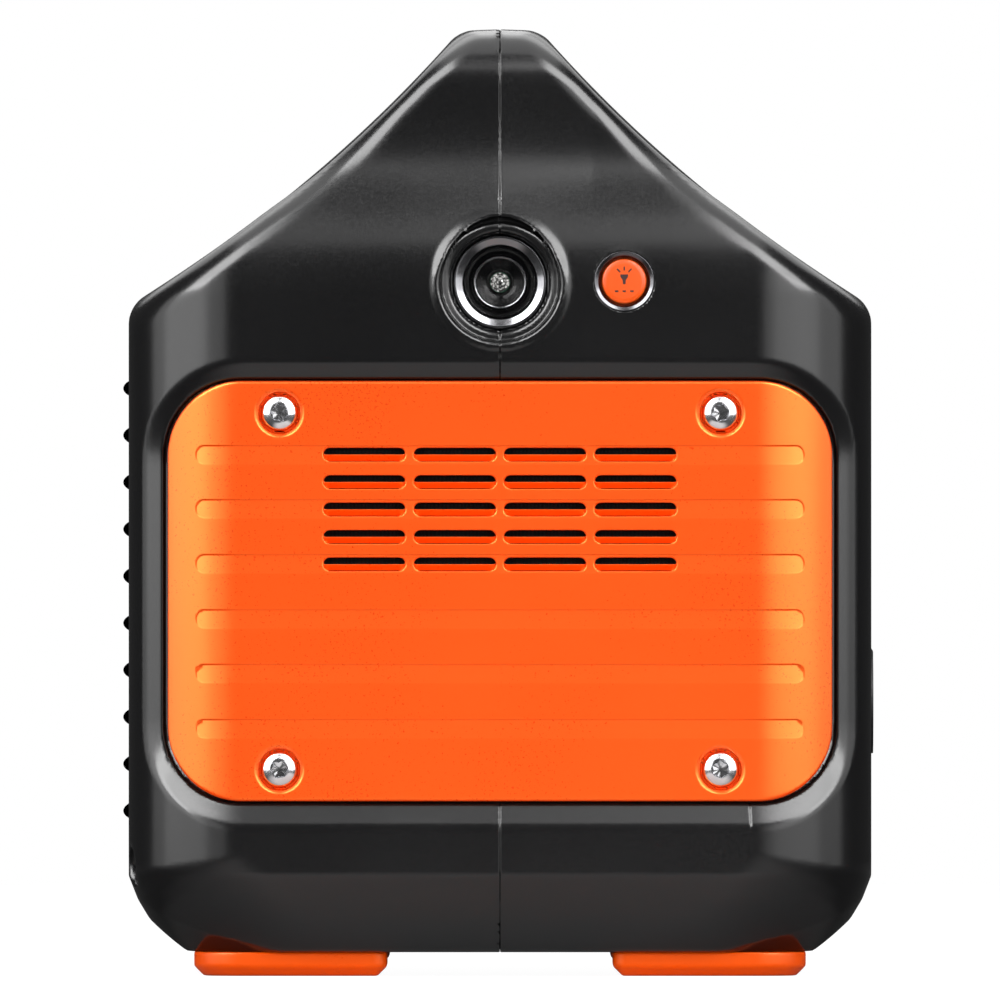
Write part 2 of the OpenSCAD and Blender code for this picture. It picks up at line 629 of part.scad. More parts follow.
module cell_grid(r, x0, x1) {
  for (i = [0 : cells_y - 1], j = [0 : cells_z - 1])
    tube_x((i - (cells_y - 1) / 2) * cell_pitch, cell_z0 + j * cell_pitch, r, x0, x1);
}
holder_y = (cells_y * cell_pitch) / 2 + 4;
holder_z0 = cell_z0 - 11.5;
holder_z1 = cell_z0 + (cells_z - 1) * cell_pitch + 12;
module holder(x0, x1) {
  difference() {
    box([x0, -holder_y, holder_z0], [x1, holder_y, holder_z1]);
    cell_grid(cell_r + 0.08, x0 - 1, x1 + 1);
  }
}
module battery_cells() { color([0.15, 0.45, 0.62]) cell_grid(cell_r, cell_x0, cell_x1); }
module cell_holder_outer() { color(dark) holder(cell_x0 + 0.2, cell_x0 + 8.2); }
module cell_holder_inner() { color(dark) holder(cell_x1 - 8.2, cell_x1 - 0.2); }
module cell_links() {
  color(steel) for (x = [cell_x0 - 0.2, cell_x1], j = [0 : cells_z - 1])
    box([x, -holder_y + 6, cell_z0 + j * cell_pitch - 4], [x + 0.2, holder_y - 6, cell_z0 + j * cell_pitch + 4]);
}
module battery_cradle() {
  color(steel) {
    box([-84, -holder_y, 14.5], [-16, holder_y, holder_z0]);
    box([-18, -holder_y, holder_z0], [-16, holder_y, holder_z1]);
    for (x = [-66, -30], y = [-70, 70]) tube_z(x, y, 5, zb + wall, 14.5);
    for (y = [-85, 85], z = [26, 128]) tube_x(y, z, 3, -16, inv_x);
  }
}
module battery_board() {
  color(green) {
    box([-84, -80, holder_z1 + 2], [-24, 80, holder_z1 + 3.6]);
    for (x = [-82, -25.5], y = [-74, 74]) tube_z(x, y, 1.4, holder_z1, holder_z1 + 2);
    for (i = [-3 : 3]) box([-70, i * 18 - 6, holder_z1 + 3.6], [-58, i * 18 + 6, holder_z1 + 8]);
    box([-46, -30, holder_z1 + 3.6], [-34, 30, holder_z1 + 12]);
  }
}
module battery_leads() {
  z = holder_z1 + 8;
  color([0.7, 0.08, 0.06]) for (y = [-60, -50]) {
    tube_z(-30, y, 2, holder_z1 + 3.6, z);
    translate([-30, y, z]) sphere(r = 2, $fn = 24);
    tube_x(y, z, 2, -30, inv_x);
  }
}

// ---------- inverter ----------

module inverter_board() { color(green) box([inv_x, -105, 20], [inv_x + 1.6, 100, 155]); }
module inverter_heatsink() {
  color(steel) {
    box([inv_x + 1.6, -100, 110], [inv_x + 6, -20, 150]);
    for (i = [0 : 7]) box([inv_x + 6, -100, 110 + i * 5.5], [36, -20, 111.5 + i * 5.5]);
  }
}
module transformer_core() {
  color(dark) difference() {
    box([inv_x + 1.6, 14, 92], [36, 70, 140]);
    box([inv_x + 0, 22, 98], [40, 36, 134]);
    box([inv_x + 0, 48, 98], [40, 62, 134]);
  }
}
module transformer_winding() {
  color(brass) difference() {
    box([inv_x + 4, 24, 99], [33, 60, 133]);
    box([inv_x, 35.8, 90], [40, 48.2, 140]);
  }
}
module capacitors() { color([0.2, 0.2, 0.3]) for (y = [-84, -60, -36, -12]) tube_x(y, 46, 9, inv_x + 1.6, 34); }
module choke_coil() {
  color(brass) translate([inv_x + 1.6 + 6.5, 56, 56]) rotate([0, 90, 0]) rotate_extrude($fn = 48)
    translate([15, 0]) circle(r = 6.5, $fn = 28);
}

// ---------- fan ----------

module fan_frame() {
  color(black) difference() {
    union() {
      difference() {
        along_y(fan_y0, fan_y0 + fan_t) translate([0, fan_z]) rr(fan_half * 2, fan_half * 2, 4);
        tube_y(0, fan_z, 33.3, fan_y0 - 1, fan_y0 + fan_t + 1);
      }
      tube_y(0, fan_z, 13, fan_y0 + fan_t - 3, fan_y0 + fan_t);
      for (a = [45 : 90 : 315]) translate([0, 0, fan_z]) rotate([0, a, 0])
        box([12, fan_y0 + fan_t - 3, -1.5], [34.5, fan_y0 + fan_t, 1.5]);
    }
    tube_y(0, fan_z, 1.55, fan_y0, fan_y0 + fan_t + 1);
    for (x = [-30.75, 30.75], z = [-30.75, 30.75]) tube_y(x, fan_z + z, 2.15, fan_y0 - 1, fan_y0 + fan_t + 1);
  }
}
module fan_rotor() {
  color(black) {
    tube_y(0, fan_z, 14, fan_y0 + 1, fan_y0 + fan_t - 3.4);
    tube_y(0, fan_z, 1.5, fan_y0 + fan_t - 3.4, fan_y0 + fan_t - 0.4);
    intersection() {
      tube_y(0, fan_z, 32.4, fan_y0 + 1.2, fan_y0 + fan_t - 3.6);
      translate([0, fan_y0 + 6.5, fan_z]) for (i = [0 : 6]) rotate([0, i * 360 / 7, 0])
        rotate([38, 0, 0]) box([12, -1, -11], [34, 1, 11]);
    }
  }
}
module fan_screws() {
  color(steel) for (x = [-30.75, 30.75], z = [-30.75, 30.75]) {
    tube_y(x, fan_z + z, 1.6, fan_y0 - 2.3, fan_y0 + fan_t);
    tube_y(x, fan_z + z, 3, fan_y0 + fan_t, fan_y0 + fan_t + 2);
  }
}

housing_front();
housing_rear();
end_plate_lamp_end();
end_plate_far_end();
plate_screws_lamp_end();
plate_screws_far_end();
case_screws();
feet();
foot_screws();
lamp_bezel();
lamp_lens();
lamp_reflector();
lamp_led();
lamp_board();
lamp_heatsink();
lamp_button();
lamp_button_ring();
lamp_switch();
control_panel();
panel_screws();
display_window();
display_module();
ac_button();
dc_button();
usb_button();
display_button();
panel_switches();
control_board();
ac_outlet_body();
ac_contacts();
car_socket_shell();
car_socket_insulator();
car_socket_contact();
car_socket_cover();
cover_hinge_pin();
dc_output_sockets();
dc_output_pins();
dc_input_socket();
dc_input_pin();
usb_shells();
usb_tongues();
battery_cells();
cell_holder_outer();
cell_holder_inner();
cell_links();
battery_cradle();
battery_board();
inverter_board();
transformer_core();
transformer_winding();
capacitors();
inverter_heatsink();
choke_coil();
fan_frame();
fan_rotor();
fan_screws();
dust_mesh_lamp_end();
dust_mesh_far_end();
battery_leads();
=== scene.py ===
import bpy
import bmesh
import math
import numpy as np
from mathutils import Vector, Matrix


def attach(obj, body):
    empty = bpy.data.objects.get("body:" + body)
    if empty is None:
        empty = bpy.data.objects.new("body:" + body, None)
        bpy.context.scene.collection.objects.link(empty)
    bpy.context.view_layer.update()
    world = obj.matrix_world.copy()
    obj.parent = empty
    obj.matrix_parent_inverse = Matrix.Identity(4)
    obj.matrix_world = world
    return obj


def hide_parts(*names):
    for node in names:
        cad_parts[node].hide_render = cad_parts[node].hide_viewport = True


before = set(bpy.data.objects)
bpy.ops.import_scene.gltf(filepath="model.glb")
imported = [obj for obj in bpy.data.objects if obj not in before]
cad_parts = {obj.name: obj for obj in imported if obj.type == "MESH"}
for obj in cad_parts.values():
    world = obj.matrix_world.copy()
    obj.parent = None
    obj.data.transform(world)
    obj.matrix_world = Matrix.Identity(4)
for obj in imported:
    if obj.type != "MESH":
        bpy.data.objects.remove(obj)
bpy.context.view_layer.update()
scene = bpy.context.scene
scene.view_settings.view_transform = "Standard"
scene.view_settings.look = "None"

# ------------------------------------------------------------------ sizes, mm
HW, HL, H, ZB = 95.0, 150.5, 242.0, 6.1
CORNER = 30.0
PLATE_W, PLATE_H, PLATE_R, PLATE_Z = 170.4, 107.3, 19.0, 98.35
BEZ_W, BEZ_H, BEZ_R, BEZ_Z = 182.0, 118.5, 25.0, 97.65
PLATE_IN, PLATE_T = 1.2, 2.6
SCREW_X, SCREW_DZ = 56.3, 45.5
LAMP_Z = 177.2
BTN = (31.7, 177.4)
BTN_R = 5.7
LIP_R, LIP_OUT = 18.3, 1.35
SEAM = 0.035
PX0, PX1 = 92.0, 94.2
PANEL_Z = 98.0


# ------------------------------------------------------------------ materials
def nodes_of(name):
    m = bpy.data.materials.new(name)
    m.use_nodes = True
    t = m.node_tree
    t.nodes.clear()
    out = t.nodes.new("ShaderNodeOutputMaterial")
    b = t.nodes.new("ShaderNodeBsdfPrincipled")
    t.links.new(b.outputs[0], out.inputs[0])
    return m, t, b


def link(t, a, b):
    t.links.new(a, b)


def coords(t, scale=(1, 1, 1)):
    c = t.nodes.new("ShaderNodeTexCoord")
    mp = t.nodes.new("ShaderNodeMapping")
    mp.inputs["Scale"].default_value = scale
    link(t, c.outputs["Object"], mp.inputs["Vector"])
    return mp.outputs[0]


def noise(t, vec, scale, detail=2.0, rough=0.5):
    n = t.nodes.new("ShaderNodeTexNoise")
    n.inputs["Scale"].default_value = scale
    n.inputs["Detail"].default_value = detail
    n.inputs["Roughness"].default_value = rough
    link(t, vec, n.inputs["Vector"])
    return n.outputs["Fac"]


def voronoi(t, vec, scale):
    n = t.nodes.new("ShaderNodeTexVoronoi")
    n.inputs["Scale"].default_value = scale
    link(t, vec, n.inputs["Vector"])
    return n.outputs["Distance"]


def remap(t, x, a0, a1, b0, b1):
    n = t.nodes.new("ShaderNodeMapRange")
    for k, v in zip(("From Min", "From Max", "To Min", "To Max"), (a0, a1, b0, b1)):
        n.inputs[k].default_value = v
    link(t, x, n.inputs["Value"])
    return n.outputs[0]


def mix_rgb(t, fac, a, b):
    n = t.nodes.new("ShaderNodeMix")
    n.data_type = "RGBA"
    link(t, fac, n.inputs[0])
    for i, c in ((6, a), (7, b)):
        if isinstance(c, tuple):
            n.inputs[i].default_value = (*c, 1)
        else:
            link(t, c, n.inputs[i])
    return n.outputs[2]


def add(t, a, b, op="ADD"):
    n = t.nodes.new("ShaderNodeMath")
    n.operation = op
    for i, c in enumerate((a, b)):
        if isinstance(c, (int, float)):
            n.inputs[i].default_value = c
        else:
            link(t, c, n.inputs[i])
    return n.outputs[0]


def bump(t, b, height, strength, dist):
    n = t.nodes.new("ShaderNodeBump")
    n.inputs["Strength"].default_value = strength
    n.inputs["Distance"].default_value = dist
    link(t, height, n.inputs["Height"])
    link(t, n.outputs[0], b.inputs["Normal"])


def lin(c):
    """sRGB to linear."""
    return tuple(x / 12.92 if x <= 0.04045 else ((x + 0.055) / 1.055) ** 2.4 for x in c)


def plastic(name, base, rough, grain=1800.0, grain_depth=0.00003, vary=0.06, rough_vary=0.05,
            strength=0.35, coat=0.0, specular=0.5, wear=0.0, tint=None, ior=None):
    """Moulded plastic: a fine spark-eroded grain, slow colour and gloss changes, faint handling marks."""
    m, t, b = nodes_of(name)
    v = coords(t)
    c = lin(base)
    slow = noise(t, v, 14.0, 3.0, 0.55)
    fine = noise(t, v, grain, 2.0, 0.6)
    cells = voronoi(t, v, grain * 0.6)
    dark = tuple(x * (1 - vary) for x in c)
    light = tuple(min(1.0, x * (1 + vary)) for x in c)
    col = mix_rgb(t, remap(t, slow, 0.3, 0.7, 0.0, 1.0), dark, light)
    if wear:
        scuff = noise(t, coords(t, (1, 1, 6)), 55.0, 6.0, 0.7)
        col = mix_rgb(t, remap(t, scuff, 0.62, 0.75, 0.0, wear), col, tuple(min(1, x * 1.5 + 0.02) for x in c))
    link(t, col, b.inputs["Base Color"])
    r = add(t, remap(t, slow, 0.3, 0.7, rough - rough_vary, rough + rough_vary),
            remap(t, fine, 0.3, 0.7, -0.03, 0.03))
    link(t, r, b.inputs["Roughness"])
    b.inputs["Specular IOR Level"].default_value = specular
    if tint:
        b.inputs["Specular Tint"].default_value = (*tint, 1)
    if ior:
        b.inputs["IOR"].default_value = ior
    if coat:
        b.inputs["Coat Weight"].default_value = coat
        b.inputs["Coat Roughness"].default_value = 0.25
    bump(t, b, add(t, fine, cells), strength, grain_depth)
    return m


def metal(name, base, rough, brush=(400, 400, 20), depth=0.00001, vary=0.05, strength=0.25):
    m, t, b = nodes_of(name)
    v = coords(t, brush)
    c = lin(base)
    n = noise(t, v, 6.0, 4.0, 0.6)
    slow = noise(t, coords(t), 90.0, 2.0)
    link(t, mix_rgb(t, slow, tuple(x * (1 - vary) for x in c), c), b.inputs["Base Color"])
    link(t, remap(t, n, 0.3, 0.7, max(0.03, rough - 0.05), rough + 0.05), b.inputs["Roughness"])
    b.inputs["Metallic"].default_value = 1.0
    bump(t, b, n, strength, depth)
    return m


MAT = {}
MAT["casing"] = plastic("casing_satin_black", (0.076, 0.076, 0.079), 0.22, grain=1500, grain_depth=0.00002,
                        vary=0.05, rough_vary=0.02, strength=0.14, specular=0.5)
MAT["orange"] = plastic("plate_orange", (1.0, 0.262, 0.0), 0.30, grain=1400, grain_depth=0.00002,
                        vary=0.015, rough_vary=0.015, strength=0.05, tint=(1.0, 0.85, 0.20), ior=2.1)
MAT["feet"] = plastic("foot_orange", (1.0, 0.33, 0.0), 0.34, grain=1300, grain_depth=0.00003, vary=0.02, wear=0.04,
                      tint=(1.0, 0.75, 0.35))
MAT["button"] = plastic("button_orange", (1.0, 0.36, 0.02), 0.34, grain=2200, grain_depth=0.00001, vary=0.02)
MAT["panel"] = plastic("panel_black", (0.085, 0.085, 0.092), 0.45, grain=1600, grain_depth=0.00004, vary=0.06)
MAT["black"] = plastic("inner_black", (0.045, 0.045, 0.05), 0.5, grain=1400, grain_depth=0.00003)
MAT["outlet"] = plastic("outlet_black", (0.12, 0.12, 0.128), 0.38, grain=2000, grain_depth=0.00002)
MAT["cover"] = plastic("cover_black", (0.10, 0.10, 0.108), 0.48, grain=1200, grain_depth=0.00004)
MAT["usb"] = plastic("tongue_orange", (0.93, 0.36, 0.08), 0.45, grain=2500, grain_depth=0.00001)
MAT["reflector"] = plastic("reflector_black", (0.025, 0.025, 0.028), 0.24, grain=3000, grain_depth=0.000003,
                           rough_vary=0.03, specular=0.18)
MAT["chrome"] = metal("chromed_steel", (0.90, 0.90, 0.91), 0.17, brush=(60, 60, 60), depth=0.000004)
MAT["ring"] = metal("bright_ring", (0.50, 0.50, 0.51), 0.20, brush=(200, 200, 200), depth=0.000004)
MAT["trim"] = metal("trim_ring", (0.37, 0.37, 0.38), 0.24, brush=(200, 200, 200), depth=0.000004)
MAT["steel"] = metal("plain_steel", (0.66, 0.66, 0.68), 0.30)
MAT["alloy"] = metal("plain_alloy", (0.75, 0.76, 0.78), 0.35, brush=(30, 300, 300))
MAT["brass"] = metal("brass_contacts", (0.83, 0.66, 0.33), 0.28)
MAT["copper"] = metal("enamelled_copper", (0.72, 0.40, 0.22), 0.25, brush=(20, 900, 900), depth=0.0001, strength=0.8)
MAT["mesh"] = plastic("mesh_black", (0.03, 0.03, 0.032), 0.6)
MAT["ferrite"] = plastic("ferrite_grey", (0.17, 0.17, 0.18), 0.55)
MAT["sleeve"] = plastic("sleeve_blue_grey", (0.15, 0.17, 0.27), 0.25)
MAT["cells"] = plastic("cell_sleeve_blue", (0.12, 0.40, 0.58), 0.28, grain=500)
MAT["lead"] = plastic("lead_red", (0.62, 0.07, 0.05), 0.4)


def board_material():
    m, t, b = nodes_of("circuit_board")
    v = coords(t)
    traces = t.nodes.new("ShaderNodeTexBrick")
    traces.inputs["Scale"].default_value = 260.0
    traces.inputs["Mortar Size"].default_value = 0.03
    for k, c in (("Color1", (0.03, 0.20, 0.10, 1)), ("Color2", (0.025, 0.17, 0.085, 1)), ("Mortar", (0.05, 0.30, 0.16, 1))):
        traces.inputs[k].default_value = c
    link(t, v, traces.inputs["Vector"])
    n = noise(t, v, 300.0, 3.0)
    link(t, mix_rgb(t, remap(t, n, 0.4, 0.6, 0, 0.4), traces.outputs["Color"], (0.02, 0.13, 0.07)), b.inputs["Base Color"])
    link(t, remap(t, n, 0.3, 0.7, 0.25, 0.4), b.inputs["Roughness"])
    bump(t, b, traces.outputs["Fac"], 0.3, 0.00005)
    return m


MAT["board"] = board_material()


def glass_material(name, colour, rough, alpha=None, ior=1.5):
    m, t, b = nodes_of(name)
    v = coords(t)
    n = noise(t, v, 120.0, 3.0)
    c = lin(colour)
    link(t, mix_rgb(t, n, tuple(x * 0.97 for x in c), c), b.inputs["Base Color"])
    link(t, remap(t, n, 0.3, 0.7, max(0.0, rough - 0.01), rough + 0.015), b.inputs["Roughness"])
    b.inputs["IOR"].default_value = ior
    if alpha is None:
        b.inputs["Transmission Weight"].default_value = 1.0
    else:
        b.inputs["Alpha"].default_value = alpha
    return m


MAT["lens"] = glass_material("clear_lens", (0.05, 0.055, 0.06), 0.02, alpha=0.10)
MAT["window"] = glass_material("smoked_window", (0.012, 0.014, 0.018), 0.06, alpha=0.80)


def led_material():
    """Clear dome over a phosphor chip, with painted glints: a weak emission and white spots, both broken up into cells,
    stand in for light caught by the facets inside.
    """
    m, t, b = nodes_of("led_dome")
    v = coords(t)
    cells = voronoi(t, v, 1500.0)
    n = noise(t, v, 900.0, 2.0)
    middle = t.nodes.new("ShaderNodeVectorMath")
    middle.operation = "MULTIPLY_ADD"
    link(t, v, middle.inputs[0])
    middle.inputs[1].default_value = (1.0, 0.0, 1.0)
    middle.inputs[2].default_value = (0.0, 0.0, -LAMP_Z / 1000)
    dot = t.nodes.new("ShaderNodeVectorMath")
    dot.operation = "LENGTH"
    link(t, middle.outputs[0], dot.inputs[0])
    dot = remap(t, dot.outputs["Value"], 0.00035, 0.00075, 0.0, 1.0)
    # painted glints: emission in facet-like cells (none at the centre dot) and white-grey cell spots in the base colour
    # stand in for reflections in the dome
    glow = add(t, remap(t, cells, 0.25, 0.6, 0.55, 0.02), dot, "MULTIPLY")
    col = mix_rgb(t, remap(t, cells, 0.25, 0.6, 0.0, 1.0), lin((0.97, 0.97, 0.95)), lin((0.30, 0.30, 0.29)))
    link(t, mix_rgb(t, dot, (0.02, 0.02, 0.02), col), b.inputs["Base Color"])
    b.inputs["Emission Color"].default_value = (1.0, 1.0, 0.97, 1)
    link(t, glow, b.inputs["Emission Strength"])
    link(t, remap(t, n, 0.3, 0.7, 0.08, 0.16), b.inputs["Roughness"])
    b.inputs["Metallic"].default_value = 0.45
    b.inputs["Coat Weight"].default_value = 0.6
    bump(t, b, cells, 0.8, 0.0002)
    return m


MAT["led"] = led_material()


# ------------------------------------------------------------------ mesh tools
def make_object(name, verts, faces, body, mat, normals=None, smooth=True, replaces=()):
    """verts in mm. faces: an (n, 4) or (n, 3) array, or a list of lists."""
    me = bpy.data.meshes.new(name)
    v = np.asarray(verts, np.float64) * 0.001
    if isinstance(faces, np.ndarray):
        k = faces.shape[1]
        me.vertices.add(len(v))
        me.vertices.foreach_set("co", v.astype(np.float32).ravel())
        me.loops.add(len(faces) * k)
        me.loops.foreach_set("vertex_index", faces.astype(np.int32).ravel())
        me.polygons.add(len(faces))
        me.polygons.foreach_set("loop_start", np.arange(0, len(faces) * k, k, dtype=np.int32))
        me.update(calc_edges=True)
    else:
        me.from_pydata([tuple(x) for x in v], [], [tuple(f) for f in faces])
        me.update()
    me.polygons.foreach_set("use_smooth", np.full(len(me.polygons), smooth, bool))
    if normals is not None:
        n = np.asarray(normals, np.float64)
        n /= np.maximum(np.linalg.norm(n, axis=1, keepdims=True), 1e-12)
        me.normals_split_custom_set_from_vertices([tuple(x) for x in n])
    o = bpy.data.objects.new(name, me)
    scene.collection.objects.link(o)
    mats = mat if isinstance(mat, (list, tuple)) else [mat]
    for x in mats:
        me.materials.append(x)
    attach(o, body)
    if replaces:
        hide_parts(*replaces)
    return o


def surface_nets(F, X, Y, Z):
    """The zero surface of F on a rectilinear grid: one point per crossed cell, one quad per crossed edge."""
    nx, ny, nz = F.shape
    inside = F < 0
    P, C, Q = [], [], []

    def cell(i, j, k):
        return (i.astype(np.int64) * (ny - 1) + j) * (nz - 1) + k

    for axis in range(3):
        a = [slice(None)] * 3
        b = [slice(None)] * 3
        a[axis], b[axis] = slice(0, -1), slice(1, None)
        i, j, k = np.nonzero(inside[tuple(a)] != inside[tuple(b)])
        di, dj, dk = (axis == 0), (axis == 1), (axis == 2)
        f0 = F[i, j, k].astype(np.float64)
        f1 = F[i + di, j + dj, k + dk].astype(np.float64)
        t = f0 / (f0 - f1)
        x, y, z = X[i], Y[j], Z[k]
        if axis == 0:
            x = x + t * (X[i + 1] - x)
            around = [(0, -1, -1), (0, 0, -1), (0, 0, 0), (0, -1, 0)]
        elif axis == 1:
            y = y + t * (Y[j + 1] - y)
            around = [(-1, 0, -1), (-1, 0, 0), (0, 0, 0), (0, 0, -1)]
        else:
            z = z + t * (Z[k + 1] - z)
            around = [(-1, -1, 0), (0, -1, 0), (0, 0, 0), (-1, 0, 0)]
        p = np.stack([x, y, z], 1)
        ids = np.stack([cell(i + u, j + v, k + w) for u, v, w in around], 1)
        for c in range(4):
            P.append(p)
            C.append(ids[:, c])
        flip = f0 > 0
        ids[flip] = ids[flip][:, ::-1]
        Q.append(ids)
    P, C, Q = np.concatenate(P), np.concatenate(C), np.concatenate(Q)
    used, inv = np.unique(C, return_inverse=True)
    n = np.bincount(inv, minlength=len(used))
    V = np.stack([np.bincount(inv, P[:, d], minlength=len(used)) / n for d in range(3)], 1)
    Q = np.searchsorted(used, Q)
    return V, Q


def sample(G, X, Y, Z, V):
    """Trilinear sample of the arrays in G at the points V."""
    out = []
    idx, fr = [], []
    for d, A in enumerate((X, Y, Z)):
        i = np.clip(np.searchsorted(A, V[:, d]) - 1, 0, len(A) - 2)
        idx.append(i)
        fr.append(np.clip((V[:, d] - A[i]) / (A[i + 1] - A[i]), 0, 1))
    i, j, k = idx
    u, v, w = fr
    for g in G:
        s = 0
        for a, wa in ((0, 1 - u), (1, u)):
            for b, wb in ((0, 1 - v), (1, v)):
                for c, wc in ((0, 1 - w), (1, w)):
                    s = s + g[i + a, j + b, k + c] * wa * wb * wc
        out.append(s)
    return np.stack(out, 1)


def nets_with_normals(F, X, Y, Z, where=None):
    V, Q = surface_nets(F, X, Y, Z)
    G = np.gradient(F, X, Y, Z)
    N = sample(G, X, Y, Z, V if where is None else where(V))
    return V, Q, N


def steps(*spans):
    """Grid lines: spans of (from, to, spacing)."""
    out = []
    for a, b, h in spans:
        n = max(1, int(round((b - a) / h)))
        out.append(np.linspace(a, b, n, endpoint=False))
    out.append([spans[-1][1]])
    return np.unique(np.round(np.concatenate(out), 5)).astype(np.float64)


def rmax(a, b, r):
    """Intersection with a round edge of radius r."""
    return np.minimum(np.maximum(a, b), -r) + np.hypot(np.maximum(a + r, 0), np.maximum(b + r, 0))


def rmin(a, b, r):
    return -rmax(-a, -b, r)


def rr_sdf(x, y, w, h, r):
    """Signed distance to a rounded rectangle of full size w by h."""
    qx, qy = np.abs(x) - (w / 2 - r), np.abs(y) - (h / 2 - r)
    return np.hypot(np.maximum(qx, 0), np.maximum(qy, 0)) + np.minimum(np.maximum(qx, qy), 0) - r


def poly_sdf(px, py, poly):
    """Signed distance to a closed polygon, negative inside."""
    a = np.asarray(poly, np.float64)
    b = np.roll(a, -1, axis=0)
    e = b - a
    ee = (e * e).sum(1)
    shape = np.broadcast(px, py).shape
    x = np.broadcast_to(px, shape).ravel()
    y = np.broadcast_to(py, shape).ravel()
    out = np.empty(len(x))
    for s in range(0, len(x), 4096):
        X, Y = x[s:s + 4096, None], y[s:s + 4096, None]
        dx, dy = X - a[:, 0], Y - a[:, 1]
        t = np.clip((dx * e[:, 0] + dy * e[:, 1]) / ee, 0, 1)
        d = np.sqrt(((dx - t * e[:, 0]) ** 2 + (dy - t * e[:, 1]) ** 2).min(1))
        up = (a[:, 1] <= Y) & (b[:, 1] > Y)
        down = (a[:, 1] > Y) & (b[:, 1] <= Y)
        cross = e[:, 0] * dy - e[:, 1] * dx
        wind = (up & (cross > 0)).sum(1) - (down & (cross < 0)).sum(1)
        out[s:s + 4096] = np.where(wind != 0, -d, d)
    return out.reshape(shape)


def smooth01(v):
    v = np.clip(v, 0, 1)
    return v * v * (3 - 2 * v)


def arc(cx, cy, r, a0, a1, n):
    a = np.radians(np.linspace(a0, a1, n + 1))
    return [(cx + r * math.cos(x), cy + r * math.sin(x)) for x in a]


def mirror_half(half):
    return half + [(-x, y) for x, y in reversed(half)]


# ------------------------------------------------------------------ casing
def base_half(h):
    return [(h - 12.7 - 18.0, ZB - 20.0), (h - 12.7, ZB), (h - 9.9, ZB + 3.1), (h - 5.3, ZB + 8.2), (h - 2.3, ZB + 13.3), (h, ZB + 19.4)]


FLANK_R, FLANK_X, FLANK_Z = 352.2, HW + 180.4, H + 231.8  # the flanks of the ridge are hollow arcs
LEAN, END_R = 13.3, 15.0
SIDE = mirror_half(base_half(HW) + [(HW, 330.0)])
END = mirror_half([(HL - 27.0, ZB - 20.0), (HL - 7.6, ZB), (HL - 6.1, ZB + 3.1), (HL - 3.7, ZB + 8.2), (HL - 1.7, ZB + 13.3), (HL, ZB + 19.4)] + [
    (HL - LEAN * (1 - math.cos(math.pi * t)) / 2, 174 + 47 * t) for t in np.linspace(0, 1, 40)]
    + [(HL - LEAN, 330.0)])


